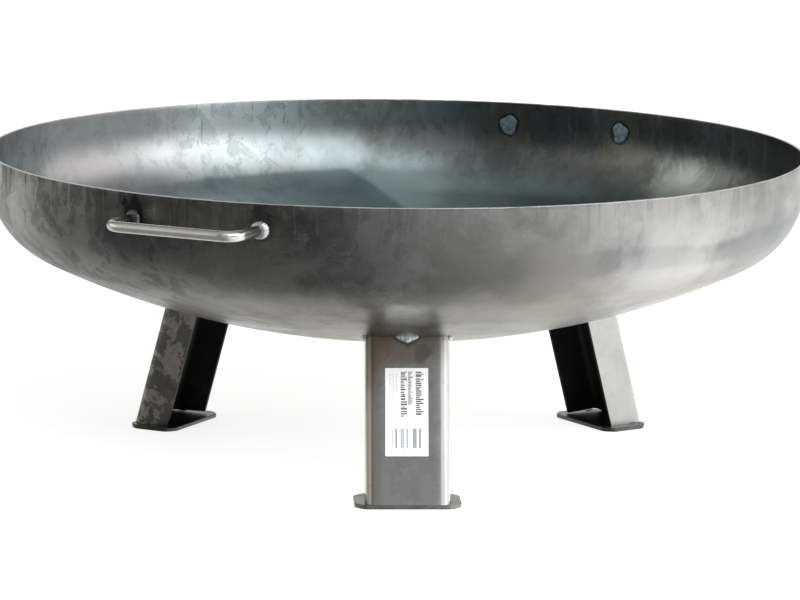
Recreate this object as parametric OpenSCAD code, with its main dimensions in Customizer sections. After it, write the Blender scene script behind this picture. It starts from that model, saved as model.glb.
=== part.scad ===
// Fire bowl: a pressed steel dish on three folded channel legs, with two bar handles.
// The origin is on the bowl's axis at floor level, +Z is up and the handles lie on the X axis.
// One leg points along +Y and the other two stand 120 degrees to either side of it.
// Each leg and handle is built pointing along +X and then turned to its place.

/* [Bowl] */
// Outside diameter of the rim
bowl_d = 800; // [600:5:1000]
// Height of the rim above the floor
overall_h = 300; // [240:5:380]
// Thickness of the bowl's sheet
bowl_t = 3; // [2:0.5:6]
// Height of the straight wall under the rim
rim_h = 24; // [10:1:50]
// Inside radius of the curve between the wall and the dished floor
knuckle_r = 80; // [50:1:110]
// Inside radius of the dished floor
crown_r = 800; // [600:5:1200]

/* [Legs] */
// Width of the channel across its outer face
leg_w = 78; // [50:1:100]
// Depth of the channel's two flanges
leg_d = 39; // [25:0.5:60]
// Thickness of the channel's sheet
leg_t = 3; // [2:0.5:5]
// Outside radius of the channel's two folds
leg_bend_r = 9; // [6:0.5:14]
// Lean of the legs from the vertical, tops inward
leg_tilt = 16; // [5:0.5:22]
// Distance from the bowl's axis to the outer face of a leg, at its foot
leg_foot_r = 279; // [230:1:335]

/* [Foot plates] */
// Width of a foot plate across the leg
plate_w = 100; // [90:1:130]
// Depth of a foot plate along the leg's flanges
plate_d = 53; // [50:1:80]
// Thickness of a foot plate
plate_t = 4; // [2:0.5:8]
// Length cut off each corner of a foot plate
plate_chamfer = 9; // [3:0.5:15]

/* [Handles] */
// Diameter of the handle bar
bar_d = 10; // [8:0.5:16]
// Distance between the centres of the bar's two ends
handle_pitch = 131; // [100:1:180]
// Distance from the bowl's wall to the centre of the grip
handle_reach = 42; // [36:1:70]
// Centreline radius of the bar's two bends
handle_bend_r = 15; // [12:0.5:24]
// Distance from the rim down to the bar's centre
handle_drop = 24; // [16:1:40]

/* [Welds] */
// Leg length of the fillet round each handle end
handle_weld = 4.5; // [3:0.5:7]
// Radius of the tack at the top of a leg's outer face
web_weld_r = 6.5; // [4:0.5:9]
// Length of the tack at the top of a leg's outer face
web_weld_l = 22; // [15:1:40]
// Radius of the two tacks at a leg's top corners
corner_weld_r = 4.5; // [3:0.5:7]
// Radius of the fillets between a leg and its foot plate
foot_weld_r = 3.5; // [2:0.5:5]
// Length of the fillets inside the channel
foot_weld_l = 24; // [10:1:30]
// Length of the tacks outside the channel's folds
foot_tack_l = 9; // [6:1:14]

/* [Label] */
// Width of the paper label
label_w = 40; // [25:1:50]
// Height of the paper label
label_h = 82; // [50:1:100]
// Thickness of the paper label
label_t = 0.3; // [0.1:0.1:0.5]
// Place of the label between the foot, at 0, and the weld at the leg's top, at 1
label_place = 0.67; // [0:0.01:1]
// Distance from the leg's centre line to the middle of the label, to the right when faced
label_side = -1.5; // [-8:0.5:8]

/* [Hidden] */
$fn = 96;
fine = 720;
eps = 0.01;

// Profile of the bowl, from its inside face
inner_r = bowl_d / 2 - bowl_t;
knuckle_x = inner_r - knuckle_r;
knuckle_z = overall_h - rim_h;
centres_apart = crown_r - knuckle_r;
crown_z = knuckle_z + sqrt(centres_apart * centres_apart - knuckle_x * knuckle_x);

// Heading of each leg about the bowl's axis
rear_leg = 90;
front_left_leg = -150;
front_right_leg = -30;

// A leg is cut from a channel that starts below the floor and ends inside the bowl
leg_blank_below = leg_d;
leg_blank_l = overall_h + leg_blank_below;

// Grip and bends of a handle pointing along +X
bar_r = bar_d / 2;
handle_z = overall_h - handle_drop;
grip_x = bowl_d / 2 + handle_reach;
bend_x = grip_x - handle_bend_r;
end_y = handle_pitch / 2;
wall_x = sqrt(bowl_d * bowl_d / 4 - end_y * end_y);

// How deep a handle's weld is built before the wall trims it, in its leg lengths
weld_inset = 2;
// How far a foot fillet's centre stands off both faces, in its radii
foot_weld_lift = 0.25;

steel = [0.42, 0.42, 0.40];
leg_steel = [0.50, 0.49, 0.47];
plate_steel = [0.36, 0.36, 0.35];
bar_steel = [0.72, 0.71, 0.68];
weld_steel = [0.80, 0.82, 0.83];
paper = [0.95, 0.95, 0.95];

// Half section of the dish filled to the rim, grown by t from the inside face
module dish_section(t) {
    // Straight wall and everything inside it
    translate([0, knuckle_z]) square([inner_r + t, rim_h]);
    // Knuckle, below the straight wall
    intersection() {
        translate([knuckle_x, knuckle_z]) circle(r = knuckle_r + t, $fn = fine);
        square([inner_r + t, knuckle_z + eps]);
    }
    // Dished floor, as the sector that ends on the line through both centres
    intersection() {
        translate([0, crown_z]) rotate(meet_angle - 90) circle(r = crown_r + t, $fn = fine);
        polygon([
            [0, knuckle_z + eps],
            [knuckle_x, knuckle_z + eps],
            [knuckle_x, knuckle_z],
            [2 * knuckle_x, 2 * knuckle_z - crown_z],
            [0, 2 * knuckle_z - crown_z]
        ]);
    }
}

// The space the bowl takes up, used to trim what is welded to its outside
module dish_envelope() {
    rotate_extrude($fn = fine) dish_section(bowl_t);
}

module bowl() {
    color(steel) rotate_extrude($fn = fine) difference() {
        dish_section(bowl_t);
        dish_section(0);
    }
}

// Outline of a folded channel with square ends to its flanges
module channel_outline(w, d, r) {
    translate([-d, -w / 2]) square([d - r, w]);
    translate([-r, r - w / 2]) square([r, w - 2 * r]);
    for (side = [-1, 1])
        translate([-r, side * (w / 2 - r)]) circle(r = r);
}

module channel_section() {
    difference() {
        channel_outline(leg_w, leg_d, leg_bend_r);
        translate([-leg_t, 0])
            channel_outline(leg_w - 2 * leg_t, leg_d + leg_t, leg_bend_r - leg_t);
    }
}

// Puts what follows in the leg's leaning frame: x outward, z up along the leg
module lean() {
    translate([leg_foot_r, 0, plate_t]) rotate([0, -leg_tilt, 0]) children();
}

// Everything at and below the top face of the foot plates
module below_plate_top() {
    side = 2 * bowl_d;
    translate([-side / 2, -side / 2, plate_t - side]) cube(side);
}

module leg_blank() {
    lean() translate([0, 0, -leg_blank_below]) linear_extrude(leg_blank_l) channel_section();
}

// The leg with its hollow filled, used to trim the welds outside it
module leg_envelope() {
    lean() translate([0, 0, -leg_blank_below]) linear_extrude(leg_blank_l)
        channel_outline(leg_w, leg_d, leg_bend_r);
}

module leg(heading) {
    color(leg_steel) rotate([0, 0, heading]) difference() {
        leg_blank();
        below_plate_top();
        dish_envelope();
    }
}

module foot_plate(heading) {
    half_w = plate_w / 2;
    c = plate_chamfer;
    color(plate_steel) rotate([0, 0, heading]) translate([leg_foot_r - plate_d, 0, 0])
        linear_extrude(plate_t) polygon([
            [0, c - half_w],
            [c, -half_w],
            [plate_d - c, -half_w],
            [plate_d, c - half_w],
            [plate_d, half_w - c],
            [plate_d - c, half_w],
            [c, half_w],
            [0, half_w - c]
        ]);
}

// A round-ended bead of weld lying along Y
module bead(r, l) {
    straight = l - 2 * r;
    rotate([90, 0, 0]) cylinder(h = straight, r = r, center = true, $fn = 48);
    for (side = [-1, 1])
        translate([0, side * straight / 2, 0]) sphere(r = r, $fn = 48);
}

// Distance up the leg's outer face to where its middle meets the bowl
function leg_top_step(up) =
    let (
        x = leg_foot_r - up * sin(leg_tilt),
        z = plate_t + up * cos(leg_tilt),
        r = crown_r + bowl_t
    ) crown_z - sqrt(r * r - x * x) - z;
function leg_top(up = 0, passes = 20) =
    passes == 0 ? up : leg_top(up + leg_top_step(up), passes - 1);
leg_l = leg_top();

// Angle from straight down, at the dished floor's centre, at which the legs' welds meet the dish;
// the floor's arc is started there
web_x = leg_foot_r - leg_l * sin(leg_tilt);
corner_x = web_x - leg_bend_r * cos(leg_tilt);
corner_out = sqrt(corner_x * corner_x + leg_w * leg_w / 4);
meet_angle = (asin(web_x / (crown_r + bowl_t)) + asin(corner_out / (crown_r + bowl_t))) / 2;

module web_weld(heading) {
    color(weld_steel) rotate([0, 0, heading]) difference() {
        lean() translate([0, 0, leg_l]) bead(web_weld_r, web_weld_l);
        leg_envelope();
        dish_envelope();
    }
}

module corner_welds(heading) {
    color(weld_steel) rotate([0, 0, heading]) difference() {
        for (side = [-1, 1])
            lean() translate([-leg_bend_r, side * leg_w / 2, leg_l]) sphere(r = corner_weld_r, $fn = 48);
        leg_envelope();
        dish_envelope();
    }
}

// Fillets inside both flanges and short tacks outside both folds
module foot_welds(heading) {
    proud = foot_weld_lift * foot_weld_r;
    inner_y = leg_w / 2 - leg_t - proud;
    outer_y = leg_w / 2 + proud;
    color(weld_steel) rotate([0, 0, heading]) difference() {
        translate([leg_foot_r, 0, plate_t + proud]) for (side = [-1, 1]) {
            translate([-leg_d / 2 - leg_t, side * inner_y, 0])
                rotate([0, 0, 90]) bead(foot_weld_r, foot_weld_l);
            translate([-leg_bend_r - foot_tack_l / 2, side * outer_y, 0])
                rotate([0, 0, 90]) bead(foot_weld_r, foot_tack_l);
        }
        leg_blank();
        below_plate_top();
    }
}

// Round bar bent to a U, its ends long enough to be cut to the bowl's wall
module handle_bar() {
    for (side = [0, 1]) mirror([0, side, 0]) {
        translate([bend_x, end_y, 0]) rotate([0, -90, 0])
            cylinder(h = bend_x - wall_x + bar_d, r = bar_r, $fn = 64);
        translate([bend_x, end_y - handle_bend_r, 0]) rotate_extrude(angle = 90, $fn = 64)
            translate([handle_bend_r, 0]) circle(r = bar_r, $fn = 64);
        translate([grip_x, end_y - handle_bend_r, 0]) rotate([90, 0, 0])
            cylinder(h = end_y - handle_bend_r, r = bar_r, $fn = 64);
    }
}

module handle(heading) {
    color(bar_steel) rotate([0, 0, heading]) difference() {
        translate([0, 0, handle_z]) handle_bar();
        dish_envelope();
    }
}

// Rounded fillet round one end of a handle; side picks the end
module handle_end_weld(heading, side) {
    color(weld_steel) rotate([0, 0, heading]) difference() {
        translate([wall_x, side * end_y, handle_z]) rotate([0, 90, 0]) rotate_extrude($fn = 64) {
            intersection() {
                translate([bar_r, 0]) circle(r = handle_weld, $fn = 48);
                translate([bar_r, 0]) square(handle_weld);
            }
            translate([bar_r, -weld_inset * handle_weld])
                square([handle_weld, weld_inset * handle_weld]);
        }
        dish_envelope();
    }
}

module label() {
    color(paper) rotate([0, 0, front_left_leg]) lean()
        translate([0, label_side - label_w / 2, label_place * (leg_l - web_weld_r - label_h)])
            cube([label_t, label_w, label_h]);
}

bowl();
handle(180);  // handle_left
handle(0);  // handle_right
handle_end_weld(180, 1);  // handle_left_weld_front
handle_end_weld(180, -1);  // handle_left_weld_rear
handle_end_weld(0, -1);  // handle_right_weld_front
handle_end_weld(0, 1);  // handle_right_weld_rear
leg(front_left_leg);  // leg_front_left
leg(front_right_leg);  // leg_front_right
leg(rear_leg);  // leg_rear
foot_plate(front_left_leg);  // foot_plate_front_left
foot_plate(front_right_leg);  // foot_plate_front_right
foot_plate(rear_leg);  // foot_plate_rear
web_weld(front_left_leg);  // web_weld_front_left
web_weld(front_right_leg);  // web_weld_front_right
web_weld(rear_leg);  // web_weld_rear
corner_welds(front_left_leg);  // corner_welds_front_left
corner_welds(front_right_leg);  // corner_welds_front_right
corner_welds(rear_leg);  // corner_welds_rear
foot_welds(front_left_leg);  // foot_welds_front_left
foot_welds(front_right_leg);  // foot_welds_front_right
foot_welds(rear_leg);  // foot_welds_rear
label();
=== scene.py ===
"""Visual model of a pressed steel fire bowl on three folded channel legs, with two bar handles."""

import logging
import math
import random
from dataclasses import dataclass, field
from enum import Enum
from typing import Callable, Iterable, Sequence

import bmesh
import bpy
from mathutils import Matrix, Vector, noise


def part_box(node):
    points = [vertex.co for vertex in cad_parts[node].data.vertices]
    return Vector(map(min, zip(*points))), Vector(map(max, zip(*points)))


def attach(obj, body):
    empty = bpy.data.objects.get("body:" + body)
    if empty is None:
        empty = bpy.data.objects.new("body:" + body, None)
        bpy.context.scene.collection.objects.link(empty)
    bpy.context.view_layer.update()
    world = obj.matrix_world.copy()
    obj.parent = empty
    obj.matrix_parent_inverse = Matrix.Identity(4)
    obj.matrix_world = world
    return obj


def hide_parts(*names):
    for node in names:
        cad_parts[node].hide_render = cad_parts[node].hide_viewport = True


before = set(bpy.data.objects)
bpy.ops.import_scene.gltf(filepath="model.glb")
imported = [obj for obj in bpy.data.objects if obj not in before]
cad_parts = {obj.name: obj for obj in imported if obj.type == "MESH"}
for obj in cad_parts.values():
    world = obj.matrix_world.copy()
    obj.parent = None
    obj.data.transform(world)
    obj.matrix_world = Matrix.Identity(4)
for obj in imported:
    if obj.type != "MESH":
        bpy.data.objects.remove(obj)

LOG = logging.getLogger("fire_bowl")
MM = 0.001
# Depth of the rolled sheet's grain
GRAIN = 0.02 * MM
Colour = tuple[float, float, float]
Point = tuple[float, float, float]


# ---------------------------------------------------------------------------
# Sizes shared by several pieces
# ---------------------------------------------------------------------------


@dataclass(frozen=True)
class DishShape:
    """Section of the pressed dish, in metres, from its inside face."""

    radius: float
    rim_z: float
    sheet: float = 3 * MM
    wall: float = 24 * MM
    knuckle: float = 80 * MM
    crown: float = 800 * MM

    @classmethod
    def from_frame(cls) -> "DishShape":
        """Reads the rim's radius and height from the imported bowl."""
        _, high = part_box("bowl")
        return cls(radius=high[0], rim_z=high[2])

    @property
    def knuckle_x(self) -> float:
        """Distance from the axis to the knuckle's centre."""
        return self.radius - self.sheet - self.knuckle

    @property
    def knuckle_z(self) -> float:
        """Height of the knuckle's centre."""
        return self.rim_z - self.wall

    @property
    def crown_z(self) -> float:
        """Height of the dished floor's centre."""
        apart = self.crown - self.knuckle
        return self.knuckle_z + math.sqrt(apart**2 - self.knuckle_x**2)

    @property
    def join_angle(self) -> float:
        """Angle from straight down at which the floor runs into the knuckle."""
        return math.asin(self.knuckle_x / (self.crown - self.knuckle))

    def wall_radius(self, z: float, grow: float) -> float:
        """Radius of the dish at a height on its wall or knuckle.

        Args:
            z: Height above the floor, at or above the foot of the knuckle.
            grow: 0 for the inside face, the sheet's thickness for the outside.

        Returns:
            The distance from the axis to that face.
        """
        if z >= self.knuckle_z:
            return self.radius - self.sheet + grow
        drop = min(self.knuckle_z - z, self.knuckle + grow)
        return self.knuckle_x + math.sqrt((self.knuckle + grow) ** 2 - drop**2)

    def face(self, grow: float, crown_steps: int, knuckle_steps: int) -> list[tuple[float, float]]:
        """Points of one face of the section, from the axis up to the start of the wall.

        Args:
            grow: 0 for the inside face, the sheet's thickness for the outside.
            crown_steps: Number of steps along the dished floor.
            knuckle_steps: Number of steps round the knuckle.

        Returns:
            Pairs of radius and height.
        """
        points = []
        reach = self.crown + grow
        for i in range(crown_steps):
            a = self.join_angle * i / crown_steps
            points.append((reach * math.sin(a), self.crown_z - reach * math.cos(a)))
        bend = self.knuckle + grow
        for i in range(knuckle_steps + 1):
            a = self.join_angle + (math.pi / 2 - self.join_angle) * i / knuckle_steps
            points.append((self.knuckle_x + bend * math.sin(a), self.knuckle_z - bend * math.cos(a)))
        return points


@dataclass(frozen=True)
class LegShape:
    """Section and stance of a folded channel leg, in metres."""

    width: float = 78 * MM
    depth: float = 39 * MM
    sheet: float = 3 * MM
    bend: float = 9 * MM
    tilt: float = math.radians(16)
    foot_radius: float = 279 * MM
    plate: float = 4 * MM

    def stance(self, heading: float) -> Matrix:
        """Matrix from the leg's own leaning axes to the bowl's axes.

        Args:
            heading: The leg's heading about the bowl's axis, in degrees.

        Returns:
            The matrix; x is outward, y across and z along the leg.
        """
        turn = Matrix.Rotation(math.radians(heading), 4, "Z")
        stand = Matrix.Translation((self.foot_radius, 0, self.plate))
        return turn @ stand @ Matrix.Rotation(-self.tilt, 4, "Y")

    def foot_step(self, x: float) -> float:
        """Distance along the leg at which a point of its section meets the foot plate."""
        return -x * math.tan(self.tilt)

    def top_step(self, x: float, y: float, dish: DishShape) -> float:
        """Distance along the leg at which a point of its section meets the bowl.

        Args:
            x: Place of the point across the section, outward.
            y: Place of the point across the leg's width.
            dish: The dish that the leg is cut to.

        Returns:
            The distance in metres.
        """
        outward, up = x * math.cos(self.tilt), x * math.sin(self.tilt)
        start = Vector((self.foot_radius + outward, y, self.plate + up))
        along = Vector((-math.sin(self.tilt), 0, math.cos(self.tilt)))
        gap = start - Vector((0, 0, dish.crown_z))
        reach = dish.crown + dish.sheet
        half = gap.dot(along)
        return -half - math.sqrt(max(half**2 - gap.dot(gap) + reach**2, 0.0))


@dataclass(frozen=True)
class BarShape:
    """Route of a handle's round bar, in metres."""

    radius: float = 5 * MM
    pitch: float = 131 * MM
    reach: float = 42 * MM
    bend: float = 15 * MM
    drop: float = 24 * MM
    fillet: float = 4.5 * MM


# ---------------------------------------------------------------------------
# Shader maths
# ---------------------------------------------------------------------------


class Value:
    """A socket that Python operators can be used on; each adds a Math node."""

    def __init__(self, sheet: "NodeSheet", socket: bpy.types.NodeSocket) -> None:
        """Keeps the socket and the sheet of nodes that it is on."""
        self.sheet = sheet
        self.socket = socket

    def _math(self, operation: str, *operands: object) -> "Value":
        """Adds one Math node."""
        node = self.sheet.add("ShaderNodeMath", {"operation": operation}, dict(enumerate(operands)))
        return Value(self.sheet, node.outputs[0])

    def __add__(self, other: object) -> "Value":
        """Sum."""
        return self._math("ADD", self, other)

    def __radd__(self, other: object) -> "Value":
        """Reflected sum."""
        return self._math("ADD", other, self)

    def __sub__(self, other: object) -> "Value":
        """Difference."""
        return self._math("SUBTRACT", self, other)

    def __rsub__(self, other: object) -> "Value":
        """Reflected difference."""
        return self._math("SUBTRACT", other, self)

    def __mul__(self, other: object) -> "Value":
        """Product."""
        return self._math("MULTIPLY", self, other)

    def __rmul__(self, other: object) -> "Value":
        """Reflected product."""
        return self._math("MULTIPLY", other, self)

    def __truediv__(self, other: object) -> "Value":
        """Quotient."""
        return self._math("DIVIDE", self, other)

    def size(self) -> "Value":
        """Absolute value."""
        return self._math("ABSOLUTE", self)

    def capped(self) -> "Value":
        """The value held between 0 and 1."""
        return self._math("MINIMUM", self._math("MAXIMUM", self, 0.0), 1.0)

    def most(self, other: object) -> "Value":
        """The larger of two values."""
        return self._math("MAXIMUM", self, other)

    def step(self, low: float, high: float) -> "Value":
        """A smooth step from 0 at low to 1 at high; low may be above high.

        Args:
            low: Where the result is 0.
            high: Where the result is 1.

        Returns:
            The eased value.
        """
        first, last = (low, high) if low < high else (high, low)
        node = self.sheet.add(
            "ShaderNodeMapRange",
            {"interpolation_type": "SMOOTHSTEP"},
            {"Value": self, "From Min": first, "From Max": last},
        )
        eased = Value(self.sheet, node.outputs[0])
        return eased if low < high else 1 - eased


class NodeSheet:
    """A material's or world's nodes, added with one method."""

    def __init__(self, tree: bpy.types.NodeTree) -> None:
        """Clears the tree and starts from nothing."""
        self.tree = tree
        tree.nodes.clear()

    def add(
        self,
        kind: str,
        settings: dict[str, object] | None = None,
        inputs: dict[object, object] | None = None,
    ) -> bpy.types.Node:
        """Adds a node.

        Args:
            kind: The node's type.
            settings: Its own settings, such as a Math node's operation, set first.
            inputs: A value or a link for each named or numbered socket.

        Returns:
            The new node.
        """
        node = self.tree.nodes.new(kind)
        for name, setting in (settings or {}).items():
            setattr(node, name, setting)
        for name, given in (inputs or {}).items():
            socket = node.inputs[name]
            source = given.socket if isinstance(given, Value) else given
            if isinstance(source, bpy.types.NodeSocket):
                self.tree.links.new(source, socket)
            else:
                socket.default_value = source
        return node

    def place(self) -> bpy.types.NodeSocket:
        """The point on the surface, in metres, in the bowl's axes."""
        return self.add("ShaderNodeTexCoord").outputs["Object"]

    def scaled(self, vector: object, by: Point) -> bpy.types.NodeSocket:
        """A vector stretched by a factor along each axis."""
        return self.add("ShaderNodeVectorMath", {"operation": "MULTIPLY"}, {0: vector, 1: by}).outputs[0]

    def shifted(self, vector: object, by: object) -> bpy.types.NodeSocket:
        """A vector moved by another."""
        return self.add("ShaderNodeVectorMath", {"operation": "ADD"}, {0: vector, 1: by}).outputs[0]

    def dot(self, vector: object, along: object) -> Value:
        """How far a vector reaches along another."""
        node = self.add("ShaderNodeVectorMath", {"operation": "DOT_PRODUCT"}, {0: vector, 1: along})
        return Value(self, node.outputs["Value"])

    def away(self, vector: object, point: Point) -> Value:
        """Distance from a point."""
        node = self.add("ShaderNodeVectorMath", {"operation": "DISTANCE"}, {0: vector, 1: point})
        return Value(self, node.outputs["Value"])

    def axes(self, vector: object) -> tuple[Value, Value, Value]:
        """The three parts of a vector."""
        node = self.add("ShaderNodeSeparateXYZ", None, {0: vector})
        return tuple(Value(self, out) for out in node.outputs)

    def cloud(
        self,
        vector: object,
        scale: float,
        detail: float = 4.0,
        rough: float = 0.55,
        warp: float = 0.0,
    ) -> Value:
        """Soft random value about 0.5.

        Args:
            vector: Where it is looked up.
            scale: Blotches in a metre, about.
            detail: Number of finer layers.
            rough: Strength of the finer layers.
            warp: How far the blotches are swirled.

        Returns:
            The value.
        """
        inputs = {
            "Vector": vector, "Scale": scale, "Detail": detail, "Roughness": rough, "Distortion": warp,
        }
        return Value(self, self.add("ShaderNodeTexNoise", None, inputs).outputs[0])

    def blend(self, share: object, under: object, over: object) -> bpy.types.NodeSocket:
        """Mixes two colours.

        Args:
            share: How much of the second colour shows, 0 to 1.
            under: The first colour.
            over: The second colour.

        Returns:
            The mixed colour's socket.
        """
        colours = {6: under, 7: over}
        ready = {k: (*c, 1.0) if isinstance(c, tuple) else c for k, c in colours.items()}
        node = self.add("ShaderNodeMix", {"data_type": "RGBA"}, {0: share, **ready})
        return node.outputs[2]

    def scale_colour(self, colour: object, by: object) -> bpy.types.NodeSocket:
        """A colour made brighter or darker by a value."""
        grey = self.add("ShaderNodeCombineXYZ", None, {0: by, 1: by, 2: by}).outputs[0]
        return self.add("ShaderNodeVectorMath", {"operation": "MULTIPLY"}, {0: colour, 1: grey}).outputs[0]

    def relief(self, height: Value, depth: float) -> bpy.types.NodeSocket:
        """Small surface relief.

        Args:
            height: The height pattern, 0 to 1.
            depth: Height of the relief in metres.

        Returns:
            The normal's socket.
        """
        inputs = {"Strength": 1.0, "Distance": depth, "Height": height}
        return self.add("ShaderNodeBump", None, inputs).outputs[0]


# ---------------------------------------------------------------------------
# Finishes
# ---------------------------------------------------------------------------


@dataclass(frozen=True)
class Finish:
    """A material that knows how to build its own nodes."""

    name: str

    def material(self) -> bpy.types.Material:
        """Makes the material, once.

        Returns:
            The finished material.
        """
        made = bpy.data.materials.get(self.name)
        if made is None:
            made = bpy.data.materials.new(self.name)
            made.use_nodes = True
            self.build(NodeSheet(made.node_tree))
        return made

    def build(self, sheet: NodeSheet) -> None:
        """Adds the finish's nodes."""
        raise NotImplementedError

    @staticmethod
    def close(sheet: NodeSheet, metallic: float, colour: object, rough: object, normal: object) -> None:
        """Ends the nodes in a Principled shader and the output.

        Args:
            sheet: The nodes so far.
            metallic: 1 for bare metal, 0 for paper.
            colour: Base colour.
            rough: Roughness.
            normal: Normal with the relief.
        """
        inputs = {"Base Color": colour, "Metallic": metallic, "Roughness": rough, "Normal": normal}
        shader = sheet.add("ShaderNodeBsdfPrincipled", None, inputs)
        sheet.add("ShaderNodeOutputMaterial", None, {0: shader.outputs[0]})


@dataclass(frozen=True)
class RolledSheet(Finish):
    """Bare hot-rolled sheet: grey mill scale with stains, tide marks and fine grain."""

    light: Colour = (0.46, 0.46, 0.45)
    dark: Colour = (0.27, 0.275, 0.27)
    stain: Colour = (0.12, 0.125, 0.12)
    warm: Colour = (0.46, 0.41, 0.35)
    rough: float = 0.34
    seed: float = 0.0

    def patina(self, sheet: NodeSheet, here: object, worn: object = 0.5) -> tuple[object, Value, Value]:
        """Cloudy mill scale with tide marks.

        Args:
            sheet: The nodes so far.
            here: The point on the surface.
            worn: How strongly the stains show, 0 to 1.

        Returns:
            Colour, roughness and relief height.
        """
        moved = sheet.shifted(here, (self.seed, 0.37 * self.seed, 0.71 * self.seed))
        broad = sheet.cloud(moved, 4.5, 4.0, 0.55, 0.4)
        middle = sheet.cloud(moved, 12.0, 6.0, 0.64, 0.5)
        small = sheet.cloud(moved, 48.0, 4.0, 0.65, 0.5)
        fine = sheet.cloud(moved, 260.0, 3.0, 0.6)
        tide = (1 - ((middle - 0.55).size() * 70).capped()) * broad.step(0.42, 0.56)
        patch = middle.step(0.53, 0.60) * broad.step(0.38, 0.56)
        colour = sheet.blend(broad.step(0.36, 0.66), self.light, self.dark)
        colour = sheet.blend(patch * worn * 0.65, colour, self.stain)
        colour = sheet.blend(middle.step(0.47, 0.42) * worn * 0.50, colour, self.light)
        colour = sheet.blend(small.step(0.53, 0.575) * worn * 0.50, colour, self.stain)
        colour = sheet.blend(small.step(0.45, 0.38) * worn * 0.32, colour, self.light)
        colour = sheet.blend(tide * worn * 0.80, colour, self.stain)
        colour = sheet.blend(sheet.cloud(moved, 7.0, 2.0).step(0.55, 0.75) * 0.30, colour, self.warm)
        colour = sheet.scale_colour(colour, 0.93 + fine * 0.14)
        rough = self.rough + (broad - 0.5) * 0.20 + (middle - 0.5) * 0.16 + (small - 0.5) * 0.12
        return colour, rough, fine

    def build(self, sheet: NodeSheet) -> None:
        """Adds the finish's nodes."""
        colour, rough, fine = self.patina(sheet, sheet.place())
        self.close(sheet, 1.0, colour, rough, sheet.relief(fine, GRAIN))


@dataclass(frozen=True)
class Mark:
    """A stain, or a painted patch of reflected light or shade, on the dish, placed by its turn about the
    axis from the faced side and by its height.
    """

    turn: float
    height: float
    reach: float
    share: float
    colour: Colour


@dataclass(frozen=True)
class DishSheet(RolledSheet):
    """Either face of the dish, with stains and painted patches of reflected light and shade at fixed
    places.
    """

    dish: DishShape | None = None
    grow: float = 0.0
    faced: float = -153.0
    # Direction towards the weathered side of the outside; along it both faces are also painted darker or
    # paler as reflection of the studio.
    weathering_and_reflection_side: Point = (-0.454, 0.891, 0.0)
    marks: tuple[Mark, ...] = ()

    def stains_and_painted_light(self, sheet: NodeSheet, here: object, colour: object) -> object:
        """Lays the marks over a colour: stains, and painted highlights, reflections and shadows.

        Args:
            sheet: The nodes so far.
            here: The point on the surface.
            colour: The colour under the marks.

        Returns:
            The marked colour.
        """
        wander = sheet.cloud(here, 24.0, 5.0, 0.62, 0.8) - 0.5
        for mark in self.marks:
            a = math.radians(self.faced + mark.turn)
            radius = self.dish.wall_radius(mark.height, self.grow)
            place = (radius * math.cos(a), radius * math.sin(a), mark.height)
            away = sheet.away(here, place) + wander * mark.reach * 1.1
            colour = sheet.blend(away.step(mark.reach, 0.35 * mark.reach) * mark.share, colour, mark.colour)
        return colour


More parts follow.
